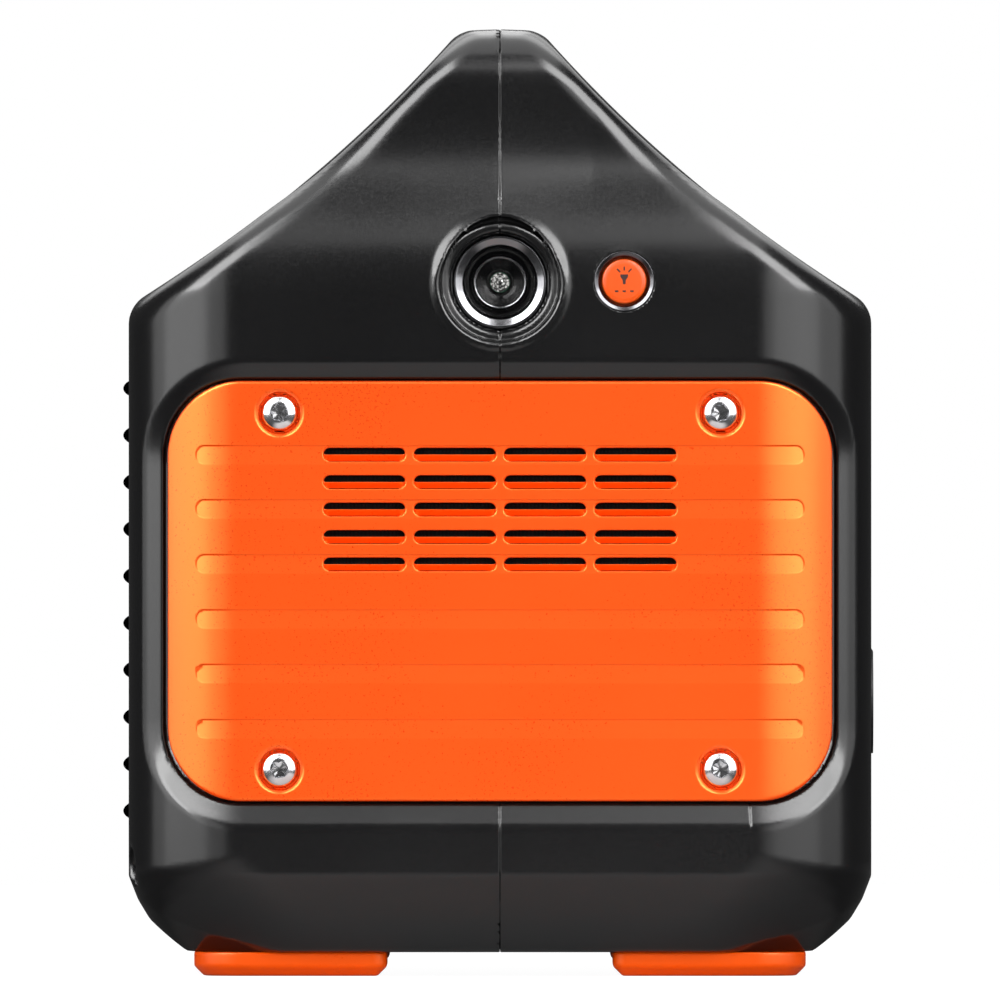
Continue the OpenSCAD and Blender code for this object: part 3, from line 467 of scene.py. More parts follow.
def casing_field(s, X, Y, Z):
    """The half casing on the side s of the seam, as a signed distance in mm."""
    x, y, z = X[:, None, None], Y[None, :, None], Z[None, None, :]
    dx = poly_sdf(X[:, None], Z[None, :], SIDE)[:, None, :]
    dy = poly_sdf(Y[:, None], Z[None, :], END)[None, :, :]
    flank = FLANK_R - np.hypot(np.abs(x) - FLANK_X, z - FLANK_Z)
    edge = 6.5 + (np.interp(z, [175, 225], [3.6, 2.7]) - 6.5) * smooth01((140 - np.abs(y)) / 25)
    A = rmax(dx, rmax(dy, z - H, END_R), CORNER)
    A = rmax(A, flank, edge)
    A = rmax(A, ZB - z, 0.5)
    # handle opening
    win = np.array([(-84, 180), (84, 180), (78, 219), (-78, 219)], float)
    inset = []
    for i in range(4):  # the polygon moved in by its corner radius
        p0, p1, p2 = win[i - 1], win[i], win[(i + 1) % 4]
        n1 = np.array([-(p1 - p0)[1], (p1 - p0)[0]]) / np.linalg.norm(p1 - p0)
        n2 = np.array([-(p2 - p1)[1], (p2 - p1)[0]]) / np.linalg.norm(p2 - p1)
        m = (n1 + n2) / (1 + n1 @ n2)
        inset.append(p1 + m * 14)
    W = poly_sdf(Y[:, None], Z[None, :], inset)[None, :, :] - 14
    A = rmax(A, -W, 5.5)
    # the waist of the grip
    yy = np.clip(np.abs(Y), 0, 149)[None, :, None]
    xs = 166 - np.sqrt(150.0 ** 2 - yy ** 2) + np.maximum(0, 219 - z) * 1.35
    S = (np.abs(x) - xs) / np.sqrt(1 + (yy / 150) ** 2 + np.where(z < 219, 1.35 ** 2, 0))
    A = rmax(A, S, 6.0)
    A = A + 0.03 * np.minimum(np.abs(x), 24) * smooth01((z - 193) / 14) * smooth01((np.abs(y) - 100) / 20)  # the halves fall away from the seam
    A = A.astype(np.float32)
    plan = rr_sdf(X[:, None], Y[None, :], 2 * HW, 2 * HL, CORNER)[:, :, None]
    inner = np.maximum(A + 3.0, rr_sdf(X[:, None], Y[None, :], 184, 287, 32)[:, :, None]).astype(np.float32)
    # the lamp's surround: a soft raised lip that dies away into the leaning face at its top
    rl = np.hypot(x, z - LAMP_Z)
    t = y + HL
    up = np.clip((z - LAMP_Z) / np.maximum(rl, 1e-6), 0, 1)
    mouth_r = 15.05 + 1.6 * up ** 3
    u = np.clip((rl - mouth_r + 0.35) / (LIP_R + 0.7 * up ** 2 - mouth_r + 0.35), 0, 1)
    fade = 1 - 0.5 * smooth01((up - 0.30) / 0.40) - 0.35 * smooth01((up - 0.80) / 0.20)
    near = np.maximum(rl - 26, t - 12)
    A = np.where(near < 0, A - LIP_OUT * fade * (1 + np.cos(math.pi * u)) / 2, A)
    A = np.where(near < 0, rmin(A, np.maximum(rl - 14.95, 2.4 - t), 0.2), A)
    # everything that is cut from the outside
    e_out = rr_sdf(X[:, None], Z[None, :] - BEZ_Z, BEZ_W, BEZ_H, BEZ_R)[:, None, :]
    e_in = rr_sdf(X[:, None], Z[None, :] - PLATE_Z, PLATE_W + 1.0, PLATE_H + 1.0, PLATE_R + 0.5)[:, None, :]
    depth = -plan
    rim = np.maximum((depth + 0.46 * e_out) / 1.1, e_out - 1)
    pocket = np.maximum(e_in, depth - 3.8)
    ends = 120.0 - np.abs(y)
    cut = np.maximum(rmin(rim, pocket, 0.4), ends)
    A = rmax(A, -cut, 0.3)
    mouth = rmax(rl - mouth_r, t - 2.4, 0.5)
    groove = np.maximum(np.maximum(rl - mouth_r, 15.5 - 0.5 * smooth01(up * 2.2) - rl), t - 8.0)
    throat = rmin(np.maximum(rl - 12.75, t - 4.4), np.maximum(rl - 12.05, t - 20), 0.2)
    flare = (rl - 13.3 + 0.9 * (t - 2.4)) / 1.35
    throat = rmin(throat, np.maximum(flare, t - 4.0), 0.1)
    near = np.maximum(rl - 24, t - 21)
    A = np.where(near < 0, rmax(rmax(rmax(A, -mouth, 1.3 - 0.8 * smooth01(up * 2.5)), -groove, 0.25), -throat, 0.25), A)
    if s > 0:
        rb = np.hypot(x - BTN[0], z - BTN[1])
        near = np.maximum(rb - 14, t - 12)
        A = np.where(near < 0, rmax(A, -np.minimum(rb - 6.4, np.maximum(rb - 7.72, t - 1.6)), 0.1), A)
        # a short joint line across the bottom of the sunk rim
        line = 0.1 - np.abs(x - 63.9 + 0.07 * (z - 41.4)) + 0 * y
        there = (z > 38.4) & (z < 44.4) & (np.abs(x - 63.9) < 2) & (y < 0)
        A = np.where(there, np.maximum(A, np.minimum(line, A + 0.4)), A)
        hole = rr_sdf(Y[:, None], Z[None, :] - PANEL_Z, 232.6, 112.6, 10.3)[None]
        A = rmax(A, -np.maximum(hole, 92 - x), 0.7)
    else:
        for yy0, zz0 in ((-125, 28), (125, 28), (-112, 168), (112, 168)):
            q = np.hypot(y - yy0, z - zz0)
            A = rmax(A, -np.maximum(q - 4.6, x + 20), 0.7)
            A = np.maximum(A, -(q - 2.2))
    A = A.astype(np.float32)
    solid = np.maximum(A, -inner)
    # bosses
    boss = np.maximum(rl - 20.6, t - 18.5)
    if s > 0:
        boss = np.minimum(boss, np.maximum(np.hypot(x - BTN[0], z - BTN[1]) - 9.6, t - 8))
    for e in (-1, 1):
        for dz in (-1, 1):
            boss = np.minimum(boss, np.maximum(np.hypot(x - s * SCREW_X, z - PLATE_Z - dz * SCREW_DZ) - 5.5,
                                               np.maximum(-e * y + HL - 18, e * y - HL + 3.8)))
        boss = np.minimum(boss, np.maximum(np.hypot(x - s * 53.5, y - e * 118) - 5, z - 16.1))
    for yy0, zz0 in ((-125, 28), (125, 28), (-112, 168), (112, 168)):
        boss = np.minimum(boss, np.hypot(y - yy0, z - zz0) - 6)
    if s > 0:
        ledge = np.maximum(np.maximum(rr_sdf(Y[:, None], Z[None, :] - PANEL_Z, 244, 124, 14)[None],
                                      -rr_sdf(Y[:, None], Z[None, :] - PANEL_Z, 224, 104, 7)[None]), np.abs(x - 90.25) - 1.75)
        boss = np.minimum(boss, ledge)
    solid = np.minimum(solid, np.maximum(boss, A)).astype(np.float32)
    vent = np.maximum(np.maximum(np.abs(x) - 47, np.abs(z - 119.2) - 18), ends)
    solid = np.maximum(solid, -vent)
    if s > 0:
        solid = np.maximum(solid, -np.maximum(rr_sdf(Y[:, None], Z[None, :] - PANEL_Z, 224, 104, 7)[None], 85 - x))
        for yy0, zz0 in ((-125, 28), (125, 28), (-112, 168), (112, 168)):
            solid = np.maximum(solid, -np.maximum(np.hypot(y - yy0, z - zz0) - 2.05, x - 20))
    # the seam: a hairline groove 1 mm deep, with a tongue behind it
    if s > 0:
        seam = np.minimum(SEAM - x, np.maximum(A + 0.8, -0.5 - x))
    else:
        seam = np.minimum(x + 0.7, np.maximum(x + SEAM, -0.8 - A))
    solid = rmax(solid, seam, 0.08)
    return solid.astype(np.float32)


def beside_the_button(V):
    """Where to take the normals: the face beside the ring's seat takes them from a little further out."""
    out = V.copy()
    d = V[:, [0, 2]] - np.array(BTN)
    r = np.linalg.norm(d, axis=1)
    m = (r > 7.85) & (r < 9.6) & (V[:, 1] < 4 - HL)
    out[np.ix_(m, [0, 2])] = np.array(BTN) + d[m] * (9.6 / r[m])[:, None]
    return out


def casing_half(s):
    fine_btn, fine_line = (0.55, 0.14) if s > 0 else (2.2, 1.1)
    X = steps((-0.85, -0.35, 0.125), (-0.35, 0.45, 0.08), (0.45, 1.2, 0.25), (1.2, 20.6, 0.7), (20.6, 22, 0.7), (22, 42, fine_btn), (42, 62.8, 2.4), (62.8, 65.0, fine_line),
              (65.0, 80, 1.1), (80, 97.0, 0.7))
    if s < 0:
        X = -X[::-1]
    Y = steps((-153.2, -134, 0.42), (-134, -120, 0.9), (-120, -103, 0.8), (-103, -92, 1.6), (-92, -70, 1.6),
              (-70, 70, 3.5), (70, 92, 1.6), (92, 103, 1.6), (103, 120, 0.8), (120, 129, 0.9), (129, 142, 1.8), (142, 152.5, 0.7))
    Z = steps((4.6, 8.0, 0.6), (8.0, 22, 1.0), (22, 36, 0.9), (36, 54, 0.62), (54, 142, 2.6), (142, 160, 0.62), (160, 198, 0.75),
              (198, 222, 1.1), (222, 244, 0.75))
    F = casing_field(s, X, Y, Z)
    V, Q, N = nets_with_normals(F, X, Y, Z, beside_the_button if s > 0 else None)
    return V, Q, N


def rib(z0, y0, y1):
    """One rib of the back wall: a rounded ridge with rounded ends, a little sunk into the wall."""
    n = 14
    prof = []
    for i in range(n + 1):
        t = -1 + 2 * i / n
        prof.append((t * 1.9, 1.5 * (1 - abs(t) ** 2.0) ** 0.9))
    prof = [(-1.9, -0.4)] + prof + [(1.9, -0.4)]
    ys = np.concatenate([y0 + 3.0 * (1 - np.cos(np.linspace(0, math.pi / 2, 7))), [0.0], y1 - 3.0 * (1 - np.cos(np.linspace(math.pi / 2, 0, 7)))])
    V, Q = [], []
    m = len(prof)
    for yy in ys:
        e = min((yy - y0), (y1 - yy), 3.0) / 3.0
        k = math.sqrt(max(0.0, 1 - (1 - e) ** 2))
        for dz, out in prof:
            V.append((-HW - max(out, 0) * k - min(out, 0) * 1.0, yy, z0 + dz * (0.35 + 0.65 * k)))
    for a in range(len(ys) - 1):
        for b in range(m):
            c = (b + 1) % m
            Q.append((a * m + b, a * m + c, (a + 1) * m + c, (a + 1) * m + b))
    return V, Q, m, len(ys)


def build_casing():
    for s, name, node in ((1, "casing_front", "housing_front"), (-1, "casing_rear", "housing_rear")):
        V, Q, N = casing_half(s)
        if s < 0:
            faces = [Q]
            verts, norms = [V], [N]
            count = len(V)
            for i in range(10):
                v, q, m, k = rib(150.2 - i * 12.02, -112.0, 112.0)
                v = np.array(v)
                q = np.array(q)[:, ::-1]
                p = v.reshape(k, m, 3)
                nn = np.cross(np.gradient(p, axis=1), np.gradient(p, axis=0)).reshape(-1, 3)
                nn *= np.where((nn * np.array([-1, 0, 0])).sum(1, keepdims=True) < 0, -1, 1)
                nn[np.linalg.norm(nn, axis=1) < 1e-9] = (-1, 0, 0)
                verts.append(v)
                norms.append(nn)
                faces.append(q + count)
                count += len(v)
            V, Q, N = np.concatenate(verts), np.concatenate(faces), np.concatenate(norms)
        print(name, len(V), "points", len(Q), "faces", V.min(0).round(2), V.max(0).round(2))
        make_object(name, V, Q, "casing", MAT["casing"], normals=N, replaces=(node,))


build_casing()


# ------------------------------------------------------------------ end plates
BAR_Z = np.array([63.2, 77.3, 91.2, 105.3, 119.3, 133.1])
SLOT_X = np.array([-34.6, -11.5, 11.5, 34.6])
SLOT_Z = np.array([105.2, 112.2, 119.2, 126.2, 133.2])


def nearest(v, places):
    """v less the nearest of the places."""
    mid = (places[1:] + places[:-1]) / 2
    return v - places[np.searchsorted(mid, v)]


def plate_field(s, t, z):
    """Signed distance of an end plate rolled out flat: s along its width, t into the casing, z up."""
    phi = np.maximum(np.abs(s) - 65, 0) / 30
    px = np.where(np.abs(s) > 65, 65 + 28.8 * np.sin(phi), np.abs(s))
    c = np.where(np.abs(s) > 65, 0.96 * np.cos(phi), 1.0)
    qx, qz = px - (PLATE_W / 2 - PLATE_R), np.abs(z - PLATE_Z) - (PLATE_H / 2 - PLATE_R)
    n = np.hypot(np.maximum(qx, 0), np.maximum(qz, 0))
    d = n + np.minimum(np.maximum(qx, qz), 0) - PLATE_R
    ux = np.where(n > 1e-6, np.maximum(qx, 0) / np.maximum(n, 1e-6), np.where(qx > qz, 1.0, 0.0))
    d = d / np.sqrt((ux * c) ** 2 + 1 - ux ** 2)
    bars = rr_sdf(s, nearest(z, BAR_Z), 157.2, 4.7, 2.3)
    front = 1.2 + (0.165 + 0.062 * np.clip(nearest(z, BAR_Z), -2.4, 2.4)) * smooth01((0.2 - bars) / 0.4)
    F = rmax(rmax(d, front - t, 0.9), t - 3.8, 0.3)
    sx, sz = nearest(s, SLOT_X), nearest(z, SLOT_Z)
    slot = rr_sdf(sx, sz, 21, 3.5, 1.74)
    through = rmax(slot + 0.05, 0.02 - sz, 0.3)
    F = rmax(F, -np.minimum(np.maximum(slot, (t - 2.3 + 0.8 * np.minimum(sz, 0)) / 1.28), through), 0.28)
    q = np.hypot(np.abs(s) - SCREW_X, np.abs(z - PLATE_Z) - SCREW_DZ)
    chamfer = (q - 6.25 + 1.1 * (t - 1.2)) / 1.49
    bore = rmin(np.maximum(q - 5.3, t - 2.8), np.maximum(chamfer, t - 2.4), 0.1)
    groove = np.maximum(np.maximum(q - 5.3, 4.6 - q), t - 3.68)
    F = rmax(F, -np.minimum(bore, groove), 0.16)
    return np.maximum(F, -(q - 2.2))


def plate_mesh():
    half = [(0, 2.8, 0.56), (2.8, 19.6, 2.1), (19.6, 26.3, 0.45), (26.3, 42.7, 2.05), (42.7, 47.0, 0.45), (47.0, 49.6, 1.3),
            (49.6, 63.0, 0.45), (63.0, 76.4, 1.7), (76.4, 79.6, 0.3), (79.6, 85.0, 1.35), (85.0, 89.4, 0.38)]
    S1 = steps(*half)
    S = np.unique(np.concatenate([-S1[::-1], S1]))
    T = np.array([0.85, 1.02, 1.15, 1.26, 1.38, 1.5, 1.64, 1.9, 2.4, 2.75, 2.95, 3.1, 3.4, 3.62, 3.78, 3.95, 4.1])
    rows = [steps((43.9, 46.6, 0.38), (46.6, 59.2, 0.45), (59.2, 137.4, 1.95), (137.4, 150.2, 0.45), (150.2, 152.8, 0.38))]
    for zb in BAR_Z:
        rows += [zb + e * 2.35 + np.array([-0.34, -0.17, 0.0, 0.17, 0.34]) for e in (-1, 1)]
    for zs in SLOT_Z:
        rows += [zs + np.array([-2.2, -1.95, -1.72, -1.5, -1.2, -0.7, -0.3, 0.0, 0.3, 0.8, 1.25, 1.5, 1.72, 1.95, 2.2])]
    Z, fine = [], np.sort(np.concatenate(rows[1:]))
    for v in np.sort(np.concatenate(rows)):
        if v in rows[0] and 59.2 < v < 137.4 and np.abs(fine - v).min() < 0.6:
            continue
        if not Z or v - Z[-1] > 0.11:
            Z.append(v)
    Z = np.array(Z)
    F = plate_field(S[:, None, None], T[None, :, None], Z[None, None, :])
    V, Q = surface_nets(F.astype(np.float32), S, T, Z)
    N = np.empty_like(V)
    for a in range(3):
        step = np.zeros(3)
        step[a] = 0.05
        hi, lo = V + step, V - step
        N[:, a] = plate_field(hi[:, 0], hi[:, 1], hi[:, 2]) - plate_field(lo[:, 0], lo[:, 1], lo[:, 2])
    s, t = V[:, 0], V[:, 1]
    a = np.maximum(np.abs(s) - 65, 0) / 30
    sg = np.where(s < 0, -1.0, 1.0)
    flat = np.abs(s) <= 65
    out = np.stack([np.where(flat, s, sg * (65 + (30 - t) * np.sin(a))), -(120.5 + (30 - t) * np.cos(a)), V[:, 2]], 1)
    h = np.where(flat, 1.0, (30 - t) / 30)
    es = np.stack([np.cos(a), sg * np.sin(a), 0 * a], 1)
    et = np.stack([-sg * np.sin(a), np.cos(a), 0 * a], 1)
    n = es * (N[:, :1] / h[:, None]) + et * N[:, 1:2]
    n[:, 2] += N[:, 2]
    return out, Q, n


PV, PQ, PN = plate_mesh()
print("end plate", len(PV), "points", len(PQ), "faces")
make_object("end_plate_lamp", PV, PQ, "casing", MAT["orange"], normals=PN, replaces=("end_plate_lamp_end",))
FLIP = np.array([1, -1, 1])
make_object("end_plate_far", PV * FLIP, PQ[:, ::-1].copy(), "casing", MAT["orange"], normals=PN * FLIP,
            replaces=("end_plate_far_end",))


# ------------------------------------------------------------------ turned pieces
def fillet(profile, radii, n=5):
    """Round the corners of an open profile; radii holds {index: radius}."""
    out = []
    for i, p in enumerate(profile):
        r = radii.get(i) if isinstance(radii, dict) else radii
        if not r or i in (0, len(profile) - 1):
            out.append(p)
            continue
        p = np.array(p, float)
        a, b = np.array(profile[i - 1], float) - p, np.array(profile[i + 1], float) - p
        la, lb = np.linalg.norm(a), np.linalg.norm(b)
        a, b = a / la, b / lb
        ang = math.acos(max(-1, min(1, float(a @ b))))
        if ang > 3.05:
            out.append(tuple(p))
            continue
        cut = min(r / math.tan(ang / 2), la * 0.48, lb * 0.48)
        rr = cut * math.tan(ang / 2)
        c = p + (a + b) / np.linalg.norm(a + b) * rr / math.sin(ang / 2)
        p0, p1 = p + a * cut - c, p + b * cut - c
        a0, a1 = math.atan2(p0[1], p0[0]), math.atan2(p1[1], p1[0])
        while a1 - a0 > math.pi:
            a1 -= 2 * math.pi
        while a1 - a0 < -math.pi:
            a1 += 2 * math.pi
        for k in range(n + 1):
            g = a0 + (a1 - a0) * k / n
            out.append((c[0] + rr * math.cos(g), c[1] + rr * math.sin(g)))
    return out


def lathe(profile, centre, axis, segments=128):
    """Turn (radius, distance along the axis) points around the axis through centre. Returns points and faces."""
    ax = {"x": (0, 1, 2), "y": (1, 2, 0), "z": (2, 0, 1)}[axis]
    V, F, rows = [], [], []
    for r, h in profile:
        row = []
        k = 1 if r < 1e-6 else segments
        for j in range(k):
            g = 2 * math.pi * j / segments
            p = [0, 0, 0]
            p[ax[0]] = centre[ax[0]] + h
            p[ax[1]] = centre[ax[1]] + r * math.cos(g)
            p[ax[2]] = centre[ax[2]] + r * math.sin(g)
            row.append(len(V))
            V.append(p)
        rows.append(row)
    for a, b in zip(rows[:-1], rows[1:]):
        for j in range(segments):
            k = (j + 1) % segments
            if len(a) == 1 and len(b) == 1:
                continue
            if len(a) == 1:
                F.append((a[0], b[k], b[j]))
            elif len(b) == 1:
                F.append((a[j], a[k], b[0]))
            else:
                F.append((a[j], a[k], b[k], b[j]))
    return V, F


def join(*parts):
    V, F = [], []
    for v, f in parts:
        n = len(V)
        V += [tuple(p) for p in v]
        F += [tuple(i + n for i in q) for q in f]
    return V, F


def piece(name, mesh, body, mat, replaces=(), angle=32):
    V, F = mesh
    o = make_object(name, V, F, body, mat, replaces=replaces)
    bm = bmesh.new()
    bm.from_mesh(o.data)
    bmesh.ops.recalc_face_normals(bm, faces=bm.faces)
    bm.to_mesh(o.data)
    bm.free()
    o.data.polygons.foreach_set("use_smooth", np.ones(len(o.data.polygons), bool))
    o.data.set_sharp_from_angle(angle=math.radians(angle))
    return o


def screw_head(r=4.45, h=2.2, socket=1.95, depth=1.5, seg=96):
    """Button head with a six-lobed socket. Axis along z, seat at z=0, head towards -z."""
    prof = fillet([(2.0, 0.0), (r, 0.0), (r, -0.6), (r - 0.1, -0.95), (r - 0.4, -1.33), (r - 0.9, -1.69), (r - 1.5, -1.97),
                   (socket + 0.5, -h + 0.05)], {1: 0.15, 2: 0.2, 3: 0.5, 4: 1.0, 5: 1.4, 6: 1.6}, 4)
    rings = [[(a, b)] * seg for a, b in prof]
    th = [2 * math.pi * j / seg for j in range(seg)]
    lobe = [socket * (1 + 0.10 * math.cos(6 * g)) for g in th]
    rings.append([(q + 0.16, -h + 0.03) for q in lobe])
    rings.append([(q, -h + 0.2) for q in lobe])
    rings.append([(q, -h + depth) for q in lobe])
    rings.append([(q * 0.55, -h + depth + 0.1) for q in lobe])
    V, F = [], []
    for ring in rings:
        for (q, zz), g in zip(ring, th):
            V.append((q * math.cos(g), q * math.sin(g), zz))
    for a in range(len(rings) - 1):
        for j in range(seg):
            k = (j + 1) % seg
            F.append((a * seg + j, a * seg + k, (a + 1) * seg + k, (a + 1) * seg + j))
    c = len(V)
    V.append((0, 0, -h + depth + 0.25))
    n = (len(rings) - 1) * seg
    for j in range(seg):
        F.append((n + j, n + (j + 1) % seg, c))
    # shank
    s0 = len(V)
    for rad, zz in ((2.0, 0.0), (2.0, 11.6), (1.6, 12.0)):
        for g in th[::4]:
            V.append((rad * math.cos(g), rad * math.sin(g), zz))
    m = seg // 4
    for a in range(2):
        for j in range(m):
            k = (j + 1) % m
            F.append((s0 + a * m + j, s0 + a * m + k, s0 + (a + 1) * m + k, s0 + (a + 1) * m + j))
    F.append(tuple(s0 + 2 * m + j for j in range(m)))
    return V, F


def place(mesh, rows, offset):
    """rows: the piece's own axes x, y, z as vectors."""
    V, F = mesh
    a = np.array(V) @ np.array(rows, float) + np.array(offset, float)
    return [tuple(p) for p in a], F


head = screw_head()
for e, name, node in ((-1, "plate_screws_lamp", "plate_screws_lamp_end"), (1, "plate_screws_far", "plate_screws_far_end")):
    parts = []
    for i, (sx, sz) in enumerate(((-1, -1), (1, -1), (1, 1), (-1, 1))):
        turn = math.radians((7, 31, 12, 48)[i])
        c, sn = math.cos(turn), math.sin(turn)
        rows = [(c, 0, sn), (-sn, 0, c), (0, -e, 0)]
        parts.append(place(head, rows, (sx * SCREW_X, e * (HL - 2.8), PLATE_Z + sz * SCREW_DZ)))
    piece(name, join(*parts), "casing", MAT["chrome"], (node,))

# ------------------------------------------------------------------ lamp
LC = (0, -HL, LAMP_Z)
bezel = lathe(fillet([(9.4, 9.0), (9.4, 5.9), (9.6, 5.35), (11.2, 4.35), (11.6, 4.3), (11.9, 4.7), (11.9, 9.0), (9.4, 9.0)],
                     {1: 0.15, 2: 0.2, 3: 0.3, 4: 0.2, 5: 0.2}, 5), LC, "y", 160)
piece("lamp_ring", bezel, "casing", MAT["ring"], ("lamp_bezel",), 40)
lens = lathe(fillet([(0, 5.85), (4.0, 5.88), (9.0, 6.05), (9.3, 6.3), (9.3, 7.2), (0, 7.2)], {2: 0.3, 3: 0.2}, 4), LC, "y", 128)
piece("lamp_glass", lens, "casing", MAT["lens"], ("lamp_lens",), 40)
refl = lathe(fillet([(2.6, 14.0), (2.6, 13.2), (3.2, 12.5), (3.35, 11.7), (4.4, 11.2), (6.2, 10.55), (6.55, 9.9), (6.9, 9.75), (7.2, 10.1),
                     (7.5, 9.7), (8.7, 7.4), (9.3, 7.25), (9.3, 9.0), (11.9, 9.0), (11.9, 10.0), (8.4, 10.0), (7.9, 14.0), (2.6, 14.0)],
                    {1: 0.15, 2: 0.25, 3: 0.3, 4: 0.8, 5: 0.3, 6: 0.25, 7: 0.2, 8: 0.15, 9: 0.3, 10: 0.3, 11: 0.2}, 5), LC, "y", 144)
piece("lamp_cup", refl, "casing", MAT["reflector"], ("lamp_reflector",), 40)
insert = lathe(fillet([(5.95, 10.35), (6.25, 9.75), (6.6, 9.55), (6.85, 9.75), (6.8, 10.1)], {1: 0.2, 2: 0.25, 3: 0.15}, 5), LC, "y", 144)
piece("lamp_insert_ring", insert, "casing", MAT["ring"], (), 40)
led = lathe([(0, 12.0), (0.45, 12.05), (0.9, 12.2), (1.3, 12.5), (1.6, 12.9), (1.75, 13.4), (1.8, 13.9), (2.4, 13.95), (2.4, 14.6), (0, 14.6)],
            LC, "y", 96)
piece("lamp_led_dome", led, "casing", MAT["led"], ("lamp_led",), 40)

# lamp button with its torch sign
BC = (BTN[0], -HL, BTN[1])
trim = fillet([(6.45, 1.6), (6.45, 0.85), (6.65, 0.6), (7.4, 0.1), (7.62, 0.06), (7.66, 1.6), (6.45, 1.6)],
              {1: 0.15, 2: 0.3, 3: 0.15, 4: 0.1}, 5)
piece("lamp_button_trim", lathe(trim, BC, "y", 128), "casing", MAT["trim"], ("lamp_button_ring",), 40)
cap = fillet([(0, 0.12), (BTN_R - 1.2, 0.2), (BTN_R - 0.25, 0.45), (BTN_R, 1.0), (BTN_R, 8.1), (BTN_R + 1.6, 8.1), (BTN_R + 1.6, 9.3),
              (2.2, 9.3), (2.2, 11.0), (0, 11.0)], {1: 1.0, 2: 0.5, 3: 0.4}, 5)
piece("lamp_push_button", lathe(cap, BC, "y", 112), "lamp_button", MAT["button"], ("lamp_button",), 35)


def decal(name, polys, centre, body, mat, lift):
    """Thin printed shapes on a face that looks along -y: polygons in (x, z) around the centre."""
    V, F = [], []
    for poly in polys:
        n = len(V)
        k = len(poly)
        for yy in (-lift, 0.05):
            for a, b in poly:
                V.append((centre[0] + a, centre[1] + yy, centre[2] + b))
        F.append(tuple(range(n, n + k)))
        F.append(tuple(range(n + 2 * k - 1, n + k - 1, -1)))
        for i in range(k):
            j = (i + 1) % k
            F.append((n + i, n + j, n + k + j, n + k + i))
    return piece(name, (V, F), body, mat)


MAT["print"] = plastic("print_dark", (0.20, 0.05, 0.03), 0.5, grain=3000, grain_depth=0.000004)
torch = [(-0.98, 1.75), (-0.98, 1.2), (-0.72, 0.75), (-0.42, 0.35), (-0.32, -0.75), (0.32, -0.75), (0.42, 0.35), (0.72, 0.75), (0.98, 1.2), (0.98, 1.75)]
ray = [(-0.17, 2.8), (0.17, 2.8), (0.17, 3.75), (-0.17, 3.75)]
rays = [ray]
for sg in (-1, 1):
    p0, p1 = np.array([sg * 1.05, 2.35]), np.array([sg * 1.85, 3.2])
    d = (p1 - p0) / np.linalg.norm(p1 - p0)
    n = np.array([-d[1], d[0]]) * 0.17
    rays.append([tuple(p0 - n), tuple(p0 + n), tuple(p1 + n), tuple(p1 - n)])
dashes = [[(x - 0.42, -2.75), (x + 0.42, -2.75), (x + 0.42, -2.3), (x - 0.42, -2.3)] for x in (-1.95, 0.0, 1.95)]
decal("lamp_button_sign", [torch] + rays + dashes, (BTN[0], -HL + 0.16, BTN[1]), "lamp_button", MAT["print"], 0.05)


# ------------------------------------------------------------------ feet
def foot_mesh():
    X = steps((-25.2, -19.5, 0.45), (-19.5, 8.0, 1.9), (8.0, 25.2, 0.62))
    Y = steps((-20.5, -14.5, 0.5), (-14.5, 6.0, 1.7), (6.0, 20.5, 0.62))
    Z = steps((-0.5, 3.4, 0.34), (3.4, 5.4, 0.8), (5.4, 6.6, 0.3))
    x, y, z = X[:, None, None], Y[None, :, None], Z[None, None, :]
    a = rr_sdf(X[:, None], Y[None, :], 49.4, 40, 3.5)
    qx, qy = X[:, None] - 11.7, Y[None, :] - 7.0
    corner = np.hypot(np.maximum(qx, 0), np.maximum(qy, 0)) - 13
    plan = np.where((qx > 0) & (qy > 0), corner, a)[:, :, None]
    body = rmax(plan, z - ZB, 0.3)
    body = rmax(body, (plan + 2.5 - z) * 0.7071, 0.35)
    body = rmax(body, -z, 0.3)
    q = np.hypot(x, y)
    body = rmax(body, -np.maximum(q - 4.4, z - 3), 0.4)
    body = np.maximum(body, -(q - 2.2))
    return nets_with_normals((body + 0 * x + 0 * y).astype(np.float32), X, Y, Z)


FV, FQ, FN = foot_mesh()
vs, qs, ns, count = [], [], [], 0
for sx in (-1, 1):
    for sy in (-1, 1):
        m = np.array([sx, sy, 1])
        vs.append(FV * m + np.array([sx * 53.5, sy * 118, 0]))
        ns.append(FN * m)
        qs.append((FQ if sx * sy > 0 else FQ[:, ::-1]) + count)
        count += len(FV)
print("feet", count, "points")
make_object("feet_moulded", np.concatenate(vs), np.concatenate(qs), "casing", MAT["feet"], normals=np.concatenate(ns),
            replaces=("feet",))


# ------------------------------------------------------------------ dust mesh behind the vents: fine black woven cloth in a frame
def cloth_material():
    m, t, b = nodes_of("filter_cloth")
    v = coords(t)
    w1 = t.nodes.new("ShaderNodeTexWave")
    w1.bands_direction = "X"
    w2 = t.nodes.new("ShaderNodeTexWave")
    w2.bands_direction = "Z"
    for w in (w1, w2):
        w.inputs["Scale"].default_value = 320.0
        w.inputs["Distortion"].default_value = 0.3
        link(t, v, w.inputs["Vector"])
    weave = add(t, w1.outputs["Fac"], w2.outputs["Fac"], "MULTIPLY")
    link(t, mix_rgb(t, weave, (0.0015, 0.0015, 0.0015), (0.006, 0.006, 0.006)), b.inputs["Base Color"])
    link(t, remap(t, weave, 0, 1, 0.95, 0.8), b.inputs["Roughness"])
    b.inputs["Specular IOR Level"].default_value = 0.15
    bump(t, b, weave, 0.5, 0.0001)
    return m


